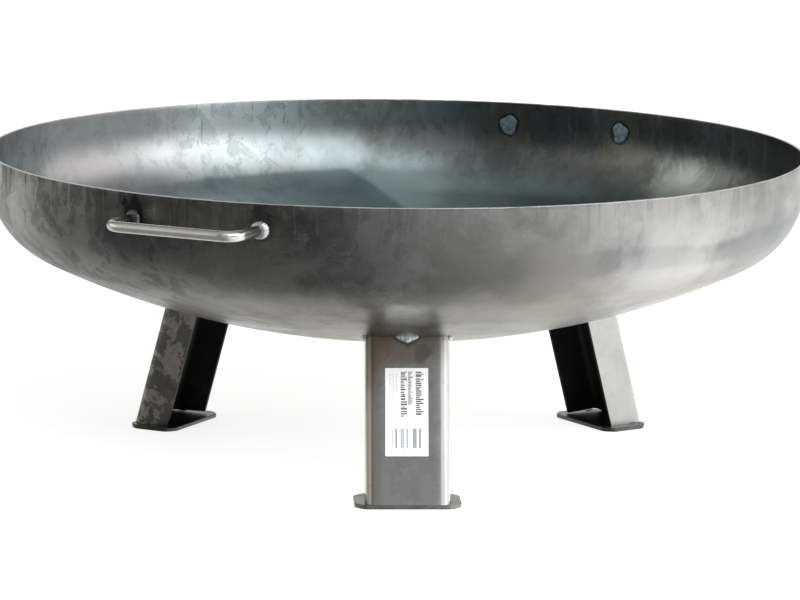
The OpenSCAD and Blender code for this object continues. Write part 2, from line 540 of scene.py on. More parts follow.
@dataclass(frozen=True)
class DishOutside(DishSheet):
    """Outside of the dish: more weathered on one side, with runs under the rim and rolled bands; it is also
    painted darker on the weathered side and paler on the other as reflection, with painted highlights,
    reflections and shadows among its marks and at the handles.
    """

    rim_z: float = 0.3
    # Sooting spots at the handle ends with their strength; the darkening is partly heat discolouration and
    # partly painted shadow and reflection of the handle on the wall.
    handle_soot_and_shadow: tuple[tuple[Point, float], ...] = ()
    # Near-black for the sooting, which also paints the handle's shadow and reflection.
    soot_and_shadow: Colour = (0.03, 0.03, 0.035)
    soot_and_shadow_core: Colour = (0.02, 0.02, 0.022)
    band: Colour = (0.20, 0.22, 0.24)

    def build(self, sheet: NodeSheet) -> None:
        """Adds the finish's nodes.

        Args:
            sheet: The nodes so far.
        """
        here = sheet.place()
        _, _, z = sheet.axes(here)
        below_rim = self.rim_z - z
        side = sheet.dot(here, self.weathering_and_reflection_side)
        drift = (sheet.cloud(here, 6.0, 3.0) - 0.5) * 0.22
        worn = (side + drift).step(-0.05, 0.12)
        colour, rough, fine = self.patina(sheet, here, 0.20 + worn * 0.80)
        # Painted reflection: the scale is made darker or paler across the dish by its level.
        colour = sheet.scale_colour(colour, self.level(side, worn, below_rim))
        colour = self.runs(sheet, here, colour, worn, below_rim)
        rolled = sheet.cloud(sheet.scaled(here, (1.5, 1.5, 75.0)), 1.0, 3.0, 0.6)
        lower = below_rim.step(0.03, 0.08)
        colour = sheet.blend(lower * rolled.step(0.50, 0.72) * 0.22, colour, self.warm)
        waver = below_rim + (sheet.cloud(here, 9.0, 4.0, 0.6, 0.4) - 0.5) * 0.030
        ring = waver.step(0.042, 0.050) * waver.step(0.072, 0.062)
        colour = sheet.blend(ring * (0.18 + side.step(-0.08, -0.28) * 0.50), colour, self.band)
        colour = self.stains_and_painted_light(sheet, here, colour)
        colour = self.sooted_and_shadowed(sheet, here, colour)
        rough = rough + lower * (rolled - 0.5) * 0.18
        self.close(sheet, 1.0, colour, rough, sheet.relief(fine, GRAIN))

    @staticmethod
    def level(side: Value, worn: Value, below_rim: Value) -> Value:
        """How pale the scale is over the dish, as painted reflection: darker on the weathered side, where
        the dark side of the studio would be mirrored, and paler at the far tip, on the other side, on the
        wall and low down near the front, where the bright softbox and floor would be mirrored.

        Args:
            side: Distance towards the weathered side, in metres.
            worn: How weathered the point is, 0 to 1.
            below_rim: Distance below the rim, in metres.

        Returns:
            The factor on the scale's colour.
        """
        # Painted reflection terms: each lifts or darkens the scale, and the weathered side is darkened too.
        far_tip = side.step(0.30, 0.39) * 1.10
        right_sheen = side.step(-0.10, -0.20) * side.step(-0.35, -0.24) * 0.24
        right_end_dimming = side.step(-0.26, -0.34) * 0.14
        right_wall_sheen = below_rim.step(0.048, 0.026) * side.step(-0.02, -0.12) * 0.22
        foot_sheen = below_rim.step(0.10, 0.13) * side.step(0.03, -0.05) * side.step(-0.16, -0.10) * 0.22
        return 1.10 - worn * 0.40 + far_tip + right_sheen - right_end_dimming + right_wall_sheen + foot_sheen

    def runs(self, sheet: NodeSheet, here: object, colour: object, worn: Value, below_rim: Value) -> object:
        """Lays dark and pale runs on the wall, from the rim down.

        Args:
            sheet: The nodes so far.
            here: The point on the surface.
            colour: The colour under the runs.
            worn: How weathered the point is, 0 to 1.
            below_rim: Distance below the rim, in metres.

        Returns:
            The colour with the runs.
        """
        narrow = sheet.cloud(sheet.scaled(here, (80.0, 80.0, 9.0)), 1.0, 3.0, 0.6, 0.5)
        wide = sheet.cloud(sheet.scaled(here, (18.0, 18.0, 5.0)), 1.0, 3.0, 0.6, 0.3)
        reach = 0.014 + wide.step(0.35, 0.70) * 0.060
        on_wall = (1 - below_rim / reach).capped()
        colour = sheet.blend(on_wall * narrow.step(0.52, 0.57) * (0.20 + worn * 0.70), colour, self.stain)
        return sheet.blend(on_wall * narrow.step(0.42, 0.34) * 0.40, colour, self.light)

    def sooted_and_shadowed(self, sheet: NodeSheet, here: object, colour: object) -> object:
        """Lays sooty darkening round and above the handles' welds: partly heat discolouration, partly
        painted shadow and reflection of the handle on the wall.

        Args:
            sheet: The nodes so far.
            here: The point on the surface.
            colour: The colour under the sooting and painted shadow.

        Returns:
            The darkened colour.
        """
        ragged = (sheet.cloud(here, 75.0, 4.0, 0.6, 0.6) - 0.5) * 0.022
        for soot_spot, share in self.handle_soot_and_shadow:
            above = sheet.shifted(here, (-soot_spot[0], -soot_spot[1], -soot_spot[2] - 6 * MM))
            away = sheet.away(sheet.scaled(above, (1.0, 1.0, 0.62)), (0.0, 0.0, 0.0)) + ragged
            colour = sheet.blend(away.step(0.026, 0.010) * share * 0.40, colour, self.soot_and_shadow)
            colour = sheet.blend(away.step(0.013, 0.009) * share, colour, self.soot_and_shadow_core)
        return colour


@dataclass(frozen=True)
class DishInside(DishSheet):
    """Inside of the dish: blue-grey scale, painted paler on one side and teal low on the other as
    reflection of the studio, with painted highlights among its marks and heat tint behind every weld.
    """

    rim_z: float = 0.3
    weld_backs: tuple[Point, ...] = ()
    leg_marks: tuple[Point, ...] = ()
    blue: Colour = (0.16, 0.25, 0.29)
    teal: Colour = (0.34, 0.46, 0.46)
    olive: Colour = (0.16, 0.165, 0.13)
    halo: Colour = (0.17, 0.165, 0.11)
    outline: Colour = (0.03, 0.045, 0.055)
    straw: Colour = (0.20, 0.15, 0.07)
    violet: Colour = (0.07, 0.09, 0.17)

    def build(self, sheet: NodeSheet) -> None:
        """Adds the finish's nodes.

        Args:
            sheet: The nodes so far.
        """
        here = sheet.place()
        _, _, z = sheet.axes(here)
        swirl = sheet.cloud(here, 7.0, 4.0, 0.6, 0.5)
        side = sheet.dot(here, self.weathering_and_reflection_side) + (swirl - 0.5) * 0.10
        # Painted reflection: the paler side stands for the bright softbox mirrored in the steel; the blue
        # and olive blotches are weaker there and the scratches show only there.
        pale = side.step(-0.02, 0.15)
        colour, rough, fine = self.patina(sheet, here, 0.60)
        colour = sheet.blend(swirl.step(0.48, 0.60) * 0.50 * (1 - pale * 0.5), colour, self.blue)
        colour = sheet.blend(swirl.step(0.46, 0.36) * 0.40 * (1 - pale), colour, self.olive)
        near_rim = (z + (swirl - 0.5) * 0.05).step(self.rim_z - 0.058, self.rim_z - 0.036)
        # Painted reflection: teal low on the darker side stands for the dark, bluish back of the studio
        # mirrored in the dished floor.
        low_down = (z + (swirl - 0.5) * 0.04).step(0.236, 0.206) * side.step(0.10, 0.0)
        colour = sheet.blend(low_down * 0.70, colour, self.teal)
        colour = sheet.scale_colour(colour, self.level(side, near_rim, low_down))
        drips = sheet.cloud(sheet.scaled(here, (90.0, 90.0, 10.0)), 1.0, 4.0, 0.65, 0.3)
        colour = sheet.blend(drips.step(0.54, 0.70) * 0.22, colour, self.stain)
        colour = sheet.blend(drips.step(0.44, 0.32) * 0.16, colour, self.light)
        scratch = sheet.cloud(sheet.scaled(here, (260.0, 260.0, 40.0)), 1.0, 2.0, 0.5, 1.2)
        colour = sheet.blend(scratch.step(0.60, 0.68) * near_rim * pale * 0.40, colour, self.stain)
        colour = self.stains_and_painted_light(sheet, here, colour)
        colour = self.shaded(sheet, here, z, colour)
        colour = self.heat_tinted(sheet, here, colour)
        self.close(sheet, 1.0, colour, rough + pale * 0.08, sheet.relief(fine, GRAIN))

    @staticmethod
    def level(side: Value, near_rim: Value, low_down: Value) -> Value:
        """How pale the scale is over the dish, as painted reflection: paler where the bright softbox would
        be mirrored, darker where the dark side of the studio would be.

        Args:
            side: Distance towards the side that is painted paler, in metres.
            near_rim: 1 on the wall, 0 on the dished floor.
            low_down: 1 on the dished floor of the darker side.

        Returns:
            The factor on the scale's colour.
        """
        # Painted reflection terms: across the dish, on the wall, at the far side and on the floor.
        across = side.step(-0.14, 0.03) * 0.42 + side.step(0.02, 0.17) * 0.78
        across = 0.62 + across - side.step(0.20, 0.32) * 0.78
        pale_wall = 1 + near_rim * side.step(-0.03, 0.05) * side.step(0.30, 0.20) * 0.32
        dark_wall = 1 - near_rim * side.step(0.02, -0.12) * 0.58
        far_side = 1 - side.step(0.17, 0.26) * 0.26
        pale_floor = 1 + low_down * side.step(0.03, -0.04) * side.step(-0.26, -0.20) * 0.30
        return across * pale_wall * dark_wall * far_side * pale_floor

    def shaded(self, sheet: NodeSheet, here: object, z: Value, colour: object) -> object:
        """Lays a painted dark reflection: the bluish area with a clear upper edge that lies low on the
        paler side, where the softbox's lower edge would be mirrored.

        Args:
            sheet: The nodes so far.
            here: The point on the surface.
            z: Its height.
            colour: The colour under the area.

        Returns:
            The shaded colour.
        """
        side = sheet.dot(here, self.weathering_and_reflection_side)
        wisp = (sheet.cloud(here, 26.0, 4.0, 0.6, 0.6) - 0.5) * 0.012
        corner = (side + (0.231 - z) * 1.75 + wisp).step(0.054, 0.066)
        under = (z + wisp * 0.5 + (side - 0.060) * 0.03).step(0.229, 0.224)
        share = under * corner * side.step(0.29, 0.19) * 0.62
        return sheet.blend(share, colour, sheet.scale_colour(self.blue, 0.9))

    def heat_tinted(self, sheet: NodeSheet, here: object, colour: object) -> object:
        """Lays heat tint behind the handles' and the legs' welds.

        Args:
            sheet: The nodes so far.
            here: The point on the surface.
            colour: The colour under the tint.

        Returns:
            The tinted colour.
        """
        wobble = (sheet.cloud(here, 60.0, 3.0, 0.6, 0.5) - 0.5) * 8 * MM
        for mark in self.weld_backs:
            away = sheet.away(here, mark) + wobble
            colour = sheet.blend(away.step(0.028, 0.015) * 0.40, colour, self.halo)
            colour = sheet.blend(away.step(0.0132, 0.0120) * 0.80, colour, self.outline)
        for mark in self.leg_marks:
            away = sheet.away(here, mark) + wobble
            colour = sheet.blend(away.step(0.050, 0.024) * 0.45, colour, self.straw)
            colour = sheet.blend(away.step(0.026, 0.012) * 0.60, colour, self.violet)
        return colour


@dataclass(frozen=True)
class CutEdge(Finish):
    """Freshly cut edge of sheet: bright, with fine shear lines."""

    colour: Colour = (0.86, 0.86, 0.84)

    def build(self, sheet: NodeSheet) -> None:
        """Adds the finish's nodes.

        Args:
            sheet: The nodes so far.
        """
        here = sheet.place()
        lines = sheet.cloud(sheet.scaled(here, (420.0, 420.0, 60.0)), 1.0, 3.0, 0.6)
        dull = sheet.cloud(here, 30.0, 3.0)
        colour = sheet.blend(dull.step(0.45, 0.70) * 0.6, self.colour, (0.34, 0.33, 0.31))
        colour = sheet.scale_colour(colour, 0.8 + lines * 0.4)
        self.close(sheet, 1.0, colour, 0.28 + lines * 0.25, sheet.relief(lines, 0.05 * MM))


@dataclass(frozen=True)
class ChannelOutside(RolledSheet):
    """Outside of a leg: flaked scale, a painted highlight on one fold and a softer painted sheen on the
    other, brown and blue heat tint under the weld.
    """

    top: Point = (0.0, 0.0, 0.0)
    across: Point = (0.0, 1.0, 0.0)
    fold: float = 28.5 * MM
    flake: Colour = (0.46, 0.41, 0.39)
    bare: Colour = (0.13, 0.13, 0.125)
    flaked: float = 0.4
    flake_level: float = 0.53
    # Painted highlight colours for the folds: bright on the lit fold, softer on the other.
    bright_fold_sheen: Colour = (0.95, 0.94, 0.92)
    soft_fold_sheen: Colour = (0.56, 0.54, 0.46)
    fold_sheen_share: float = 0.85
    straw: Colour = (0.22, 0.20, 0.15)
    brown: Colour = (0.20, 0.11, 0.07)
    burnt: Colour = (0.06, 0.05, 0.045)
    rust: Colour = (0.22, 0.15, 0.10)
    tinted: float = 1.0

    def build(self, sheet: NodeSheet) -> None:
        """Adds the finish's nodes.

        Args:
            sheet: The nodes so far.
        """
        here = sheet.place()
        colour, rough, fine = self.patina(sheet, here, 0.25)
        moved = sheet.shifted(here, (0.9 + self.seed, 0.2, 0.4))
        flakes = sheet.cloud(moved, 26.0, 6.0, 0.66, 0.25)
        colour = sheet.blend(flakes.step(0.49, 0.46) * self.flaked * 0.8, colour, self.bare)
        speckle = sheet.cloud(moved, 110.0, 4.0, 0.65, 0.8).step(0.40, 0.60)
        flaking = flakes.step(self.flake_level, self.flake_level + 0.030) * (0.70 + speckle * 0.30)
        colour = sheet.blend(flaking * self.flaked, colour, self.flake)
        # Painted highlight: each fold gets its sheen from the side it is on, broken into patches by noise.
        reach = sheet.dot(here, self.across)
        on_fold = reach.size().step(self.fold, self.fold + 4 * MM)
        sheen_patches = sheet.cloud(moved, 55.0, 4.0, 0.6, 0.5).step(0.95, 0.50)
        fold_sheen_colour = sheet.blend(reach.step(-1 * MM, 1 * MM), self.soft_fold_sheen, self.bright_fold_sheen)
        colour = sheet.blend(on_fold * self.fold_sheen_share * sheen_patches, colour, fold_sheen_colour)
        colour = self.heat_tinted(sheet, here, colour)
        self.close(sheet, 1.0, colour, rough, sheet.relief(fine, GRAIN))

    def beside(self, across: float, down: float = 0.0) -> Point:
        """A point beside and below the middle of the leg's top."""
        x, y, z = (t + across * c for t, c in zip(self.top, self.across))
        return x, y, z - down

    def heat_tinted(self, sheet: NodeSheet, here: object, colour: object) -> object:
        """Lays heat tint under the weld, a dark spot below it and rust at one top corner.

        Args:
            sheet: The nodes so far.
            here: The point on the surface.
            colour: The colour under the tint.

        Returns:
            The tinted colour.
        """
        wobble = (sheet.cloud(here, 50.0, 3.0, 0.6, 0.5) - 0.5) * 24 * MM
        away = sheet.away(here, self.top) + wobble
        ring = away.step(0.030, 0.024) * away.step(0.012, 0.018)
        colour = sheet.blend(away.step(0.046, 0.020) * 0.45 * self.tinted, colour, self.straw)
        colour = sheet.blend(ring * 0.36 * self.tinted, colour, self.brown)
        colour = sheet.blend(away.step(0.017, 0.009) * 0.70 * self.tinted, colour, self.burnt)
        spot = sheet.away(here, self.beside(13 * MM, 16 * MM)) + wobble
        colour = sheet.blend(spot.step(0.014, 0.006) * 0.55 * self.tinted, colour, self.bare)
        tall = 0.35
        x, y, z = self.beside(-36 * MM)
        corner = sheet.away(sheet.scaled(here, (1.0, 1.0, tall)), (x, y, z * tall)) + wobble
        return sheet.blend(corner.step(0.030, 0.010) * 0.75 * self.tinted, colour, self.rust)


@dataclass(frozen=True)
class ChannelShade(Finish):
    """Black mill scale inside the folded channels, painted near-black as the shade that fills them."""

    colour: Colour = (0.020, 0.020, 0.019)

    def build(self, sheet: NodeSheet) -> None:
        """Adds the finish's nodes.

        Args:
            sheet: The nodes so far.
        """
        here = sheet.place()
        cloud = sheet.cloud(here, 22.0, 4.0, 0.6)
        grain = sheet.cloud(here, 300.0, 2.0)
        colour = sheet.blend(cloud.step(0.5, 0.75) * 0.5, self.colour, (0.05, 0.048, 0.045))
        colour = sheet.scale_colour(colour, 0.8 + grain * 0.4)
        self.close(sheet, 0.6, colour, 0.55 + (cloud - 0.5) * 0.3, sheet.relief(grain, 0.03 * MM))


@dataclass(frozen=True)
class DrawnBar(Finish):
    """Bright drawn round bar with draw lines, darkened and tinted towards its welds."""

    ends: tuple[Point, ...] = ()

    def build(self, sheet: NodeSheet) -> None:
        """Adds the finish's nodes.

        Args:
            sheet: The nodes so far.
        """
        here = sheet.place()
        lines = sheet.cloud(sheet.scaled(here, (60.0, 8.0, 420.0)), 1.0, 3.0, 0.6)
        dull = sheet.cloud(here, 38.0, 4.0, 0.6)
        colour = sheet.blend(dull.step(0.52, 0.74) * 0.35, (0.98, 0.97, 0.94), (0.60, 0.58, 0.53))
        colour = sheet.blend(lines.step(0.55, 0.75) * 0.25, colour, (0.45, 0.44, 0.40))
        for end in self.ends:
            away = sheet.away(here, end) + (dull - 0.5) * 0.010
            colour = sheet.blend(away.step(0.030, 0.014) * 0.50, colour, (0.34, 0.26, 0.26))
            colour = sheet.blend(away.step(0.015, 0.008) * 0.60, colour, (0.10, 0.11, 0.13))
        self.close(sheet, 1.0, colour, 0.25 + (dull - 0.5) * 0.2, sheet.relief(lines, 0.02 * MM))


@dataclass(frozen=True)
class WeldMetal(Finish):
    """Bright weld bead with faint blue tint."""

    light: Colour = (0.90, 0.91, 0.91)
    tint: Colour = (0.42, 0.48, 0.52)
    rough: float = 0.24

    def build(self, sheet: NodeSheet) -> None:
        """Adds the finish's nodes.

        Args:
            sheet: The nodes so far.
        """
        here = sheet.place()
        cloud = sheet.cloud(here, 190.0, 3.0, 0.6, 0.8)
        grain = sheet.cloud(here, 900.0, 2.0)
        colour = sheet.blend(cloud.step(0.45, 0.70) * 0.8, self.light, self.tint)
        self.close(sheet, 1.0, colour, self.rough + cloud * 0.2, sheet.relief(grain, 0.03 * MM))


@dataclass(frozen=True)
class LabelPaper(Finish):
    """Coated white paper."""

    def build(self, sheet: NodeSheet) -> None:
        """Adds the finish's nodes.

        Args:
            sheet: The nodes so far.
        """
        here = sheet.place()
        fibre = sheet.cloud(here, 700.0, 3.0)
        soil = sheet.cloud(here, 45.0, 3.0)
        colour = sheet.blend(soil.step(0.5, 0.8) * 0.2, (0.72, 0.73, 0.76), (0.66, 0.67, 0.70))
        self.close(sheet, 0.0, colour, 0.38 + (fibre - 0.5) * 0.1, sheet.relief(fibre, 0.01 * MM))


@dataclass(frozen=True)
class Ink(Finish):
    """Printed ink in one strength."""

    colour: Colour = (0.03, 0.03, 0.03)

    def build(self, sheet: NodeSheet) -> None:
        """Adds the finish's nodes.

        Args:
            sheet: The nodes so far.
        """
        speck = sheet.cloud(sheet.place(), 1500.0, 2.0)
        paper = (0.86, 0.87, 0.89)
        colour = sheet.blend(speck.step(0.62, 0.72) * 0.25, self.colour, paper)
        self.close(sheet, 0.0, colour, 0.45 + (speck - 0.5) * 0.1, sheet.relief(speck, 0.005 * MM))


@dataclass(frozen=True)
class StudioFloor(Finish):
    """Plain pale studio floor, lit from within a little so that it stays even."""

    glow: float = 0.80

    def build(self, sheet: NodeSheet) -> None:
        """Adds the finish's nodes.

        Args:
            sheet: The nodes so far.
        """
        inputs = {
            "Base Color": (0.60, 0.60, 0.60, 1.0),
            "Roughness": 0.9,
            "Emission Color": (1.0, 1.0, 1.0, 1.0),
            "Emission Strength": self.glow,
        }
        shader = sheet.add("ShaderNodeBsdfPrincipled", None, inputs)
        sheet.add("ShaderNodeOutputMaterial", None, {0: shader.outputs[0]})


# ---------------------------------------------------------------------------
# Mesh building
# ---------------------------------------------------------------------------


class MeshBuilder:
    """Collects points and faces for one piece and turns them into an object."""

    def __init__(self, name: str, finishes: Sequence[Finish]) -> None:
        """Starts an empty piece.

        Args:
            name: The piece's name.
            finishes: Its finishes, in the order of its material slots.
        """
        self.name = name
        self.finishes = finishes
        self.points: list[Vector] = []
        self.faces: list[tuple[int, ...]] = []
        self.finish_of: list[int] = []

    def add_points(self, points: Iterable[Sequence[float]]) -> int:
        """Adds points.

        Args:
            points: Places in metres.

        Returns:
            The number of the first one.
        """
        first = len(self.points)
        self.points.extend(Vector(p) for p in points)
        return first

    def add_face(self, corners: Sequence[int], finish: int = 0) -> None:
        """Adds one face in one finish."""
        self.faces.append(tuple(corners))
        self.finish_of.append(finish)

    def add_grid(
        self,
        rows: Sequence[Sequence[Sequence[float]]],
        closed: bool,
        finish: Callable[[int, int], int] = lambda row, column: 0,
    ) -> list[int]:
        """Joins rows of points into a grid of four-sided faces.

        Args:
            rows: Rows with the same number of points.
            closed: Whether each row runs round to its own start.
            finish: Picks a finish from a face's row and column.

        Returns:
            The number of the first point in each row.
        """
        firsts = [self.add_points(row) for row in rows]
        count = len(rows[0])
        for r in range(len(rows) - 1):
            for c in range(count if closed else count - 1):
                d = (c + 1) % count
                corners = (firsts[r] + c, firsts[r] + d, firsts[r + 1] + d, firsts[r + 1] + c)
                self.add_face(corners, finish(r, c))
        return firsts

    def place(self, slot: str, replaces: str | None = None, bevel: float = 0.0) -> bpy.types.Object:
        """Makes the object, fixes it to the frame and reports it.

        Args:
            slot: The record's material slot that the piece belongs to; not used.
            replaces: The CAD node that it stands for, if any.
            bevel: Width of the rounding on its sharp edges, in metres.

        Returns:
            The new object.
        """
        mesh = bpy.data.meshes.new(self.name)
        mesh.from_pydata([tuple(p) for p in self.points], [], self.faces)
        for finish in self.finishes:
            mesh.materials.append(finish.material())
        for polygon, number in zip(mesh.polygons, self.finish_of):
            polygon.material_index = number
        work = bmesh.new()
        work.from_mesh(mesh)
        bmesh.ops.remove_doubles(work, verts=work.verts, dist=0.001 * MM)
        bmesh.ops.recalc_face_normals(work, faces=work.faces)
        work.to_mesh(mesh)
        work.free()
        piece = bpy.data.objects.new(self.name, mesh)
        bpy.context.scene.collection.objects.link(piece)
        if bevel:
            modifier = piece.modifiers.new("edge_rounding", "BEVEL")
            modifier.width = bevel
            modifier.segments = 2
            modifier.limit_method = "ANGLE"
            modifier.angle_limit = math.radians(40)
            modifier.harden_normals = False
        mesh.shade_smooth()
        mesh.set_sharp_from_angle(angle=math.radians(50))
        if replaces:
            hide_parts(replaces)
        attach(piece, "root")
        LOG.info("%s: %d points, %d faces", self.name, len(mesh.vertices), len(mesh.polygons))
        return piece


@dataclass(frozen=True)
class Station:
    """One place along a weld: its corner and the two faces that it bridges."""

    corner: Vector
    toward_a: Vector
    toward_b: Vector
    leg: float


@dataclass(frozen=True)
class Bead:
    """A rippled fillet of weld laid along a corner."""

    name: str
    stations: tuple[Station, ...]
    closed: bool = False
    ripples: float = 0.07
    ripple_every: int = 3
    crown: float = 0.25
    seed: int = 1

    def rows(self) -> list[list[Vector]]:
        """Sections of the bead, one for each station.

        Returns:
            Rows of points that run from one face to the other and back through the corner.
        """
        draw = random.Random(self.seed)
        rows = []
        arc_steps = 7
        sink = 0.3 * MM
        for i, station in enumerate(self.stations):
            wave = math.cos(2 * math.pi * i / self.ripple_every)
            leg = station.leg * (1 + self.ripples * wave + draw.uniform(-0.03, 0.03))
            inward = -(station.toward_a + station.toward_b).normalized() * sink
            row = []
            for k in range(arc_steps + 1):
                a = math.pi / 2 * k / arc_steps
                swell = 1 + self.crown * math.sin(2 * a)
                flat = station.toward_a * math.cos(a) ** 1.3 + station.toward_b * math.sin(a) ** 1.3
                row.append(station.corner + flat * leg * swell + inward)
            row.append(station.corner + inward * 2)
            rows.append(row)
        return rows

    def build(self, builder: MeshBuilder) -> None:
        """Adds the bead to a piece.

        Args:
            builder: The piece being built.
        """
        rows = self.rows()
        if self.closed:
            rows.append(rows[0])
            builder.add_grid(rows, closed=True)
            return
        firsts = builder.add_grid(rows, closed=True)
        count = len(rows[0])
        builder.add_face([firsts[0] + c for c in range(count)])
        builder.add_face([firsts[-1] + c for c in reversed(range(count))])


# ---------------------------------------------------------------------------
# Sub-assemblies
# ---------------------------------------------------------------------------


class Face(Enum):
    """The finishes of a sheet piece, by the order of its material slots."""

    OUTSIDE = 0
    INSIDE = 1
    EDGE = 2


@dataclass
class Bowl:
    """The pressed dish."""

    dish: DishShape
    outside: Finish
    inside: Finish
    edge: Finish
    around: int = 320
    crown_steps: int = 26
    knuckle_steps: int = 22
    wall_steps: int = 6
    rim_round: float = 0.5 * MM

    def section(self) -> tuple[list[tuple[float, float]], list[Face]]:
        """Section of the sheet, from the middle of its underside over the rim to its inside.

        Returns:
            Pairs of radius and height, and the finish of the stretch after each.
        """
        dish = self.dish
        outer = dish.face(dish.sheet, self.crown_steps, self.knuckle_steps)
        inner = dish.face(0.0, self.crown_steps, self.knuckle_steps)
        top = dish.rim_z - self.rim_round
        climbs = [
            dish.knuckle_z + (top - dish.knuckle_z) * (i + 1) / self.wall_steps
            for i in range(self.wall_steps)
        ]
        outer += [(dish.radius, z) for z in climbs]
        inner += [(dish.radius - dish.sheet, z) for z in climbs]
        steps = 4
        outer_round, inner_round = [], []
        for i in range(1, steps + 1):
            a = math.pi / 2 * i / steps
            height, turn = top + self.rim_round * math.sin(a), self.rim_round * (1 - math.cos(a))
            outer_round.append((dish.radius - turn, height))
            inner_round.append((dish.radius - dish.sheet + turn, height))
        points = outer + outer_round + inner_round[::-1] + inner[::-1]
        faces = [Face.OUTSIDE] * (len(outer) - 1)
        faces += [Face.EDGE] * (2 * steps + 1)
        faces += [Face.INSIDE] * (len(inner) - 1)
        return points, faces

    def build(self) -> None:
        """Makes the dish as one closed piece."""
        section, faces = self.section()
        builder = MeshBuilder("bowl_pressing", (self.outside, self.inside, self.edge))
        rows = []
        for radius, z in section[1:-1]:
            row = []
            for c in range(self.around):
                a = 2 * math.pi * c / self.around
                row.append((radius * math.cos(a), radius * math.sin(a), z - self.nick(radius, z, a)))
            rows.append(row)
        firsts = builder.add_grid(rows, closed=True, finish=lambda r, c: faces[r + 1].value)
        for end, face in ((0, Face.OUTSIDE), (-1, Face.INSIDE)):
            first = firsts[end]
            middle = builder.add_points([(0.0, 0.0, section[end][1])])
            for c in range(self.around):
                builder.add_face((middle, first + c, first + (c + 1) % self.around), face.value)
        builder.place("bowl_steel", replaces="bowl")

    def nick(self, radius: float, z: float, angle: float) -> float:
        """How far a point of the rim is worn down.

        Args:
            radius: The point's distance from the axis; not used.
            z: Its height.
            angle: Its angle about the axis.

        Returns:
            The depth in metres, 0 away from the rim.
        """
        if z < self.dish.rim_z - 2 * self.rim_round:
            return 0.0
        rough = noise.noise(Vector((math.cos(angle) * 30, math.sin(angle) * 30, 0.5)))
        return max(rough - 0.25, 0.0) * 0.9 * MM


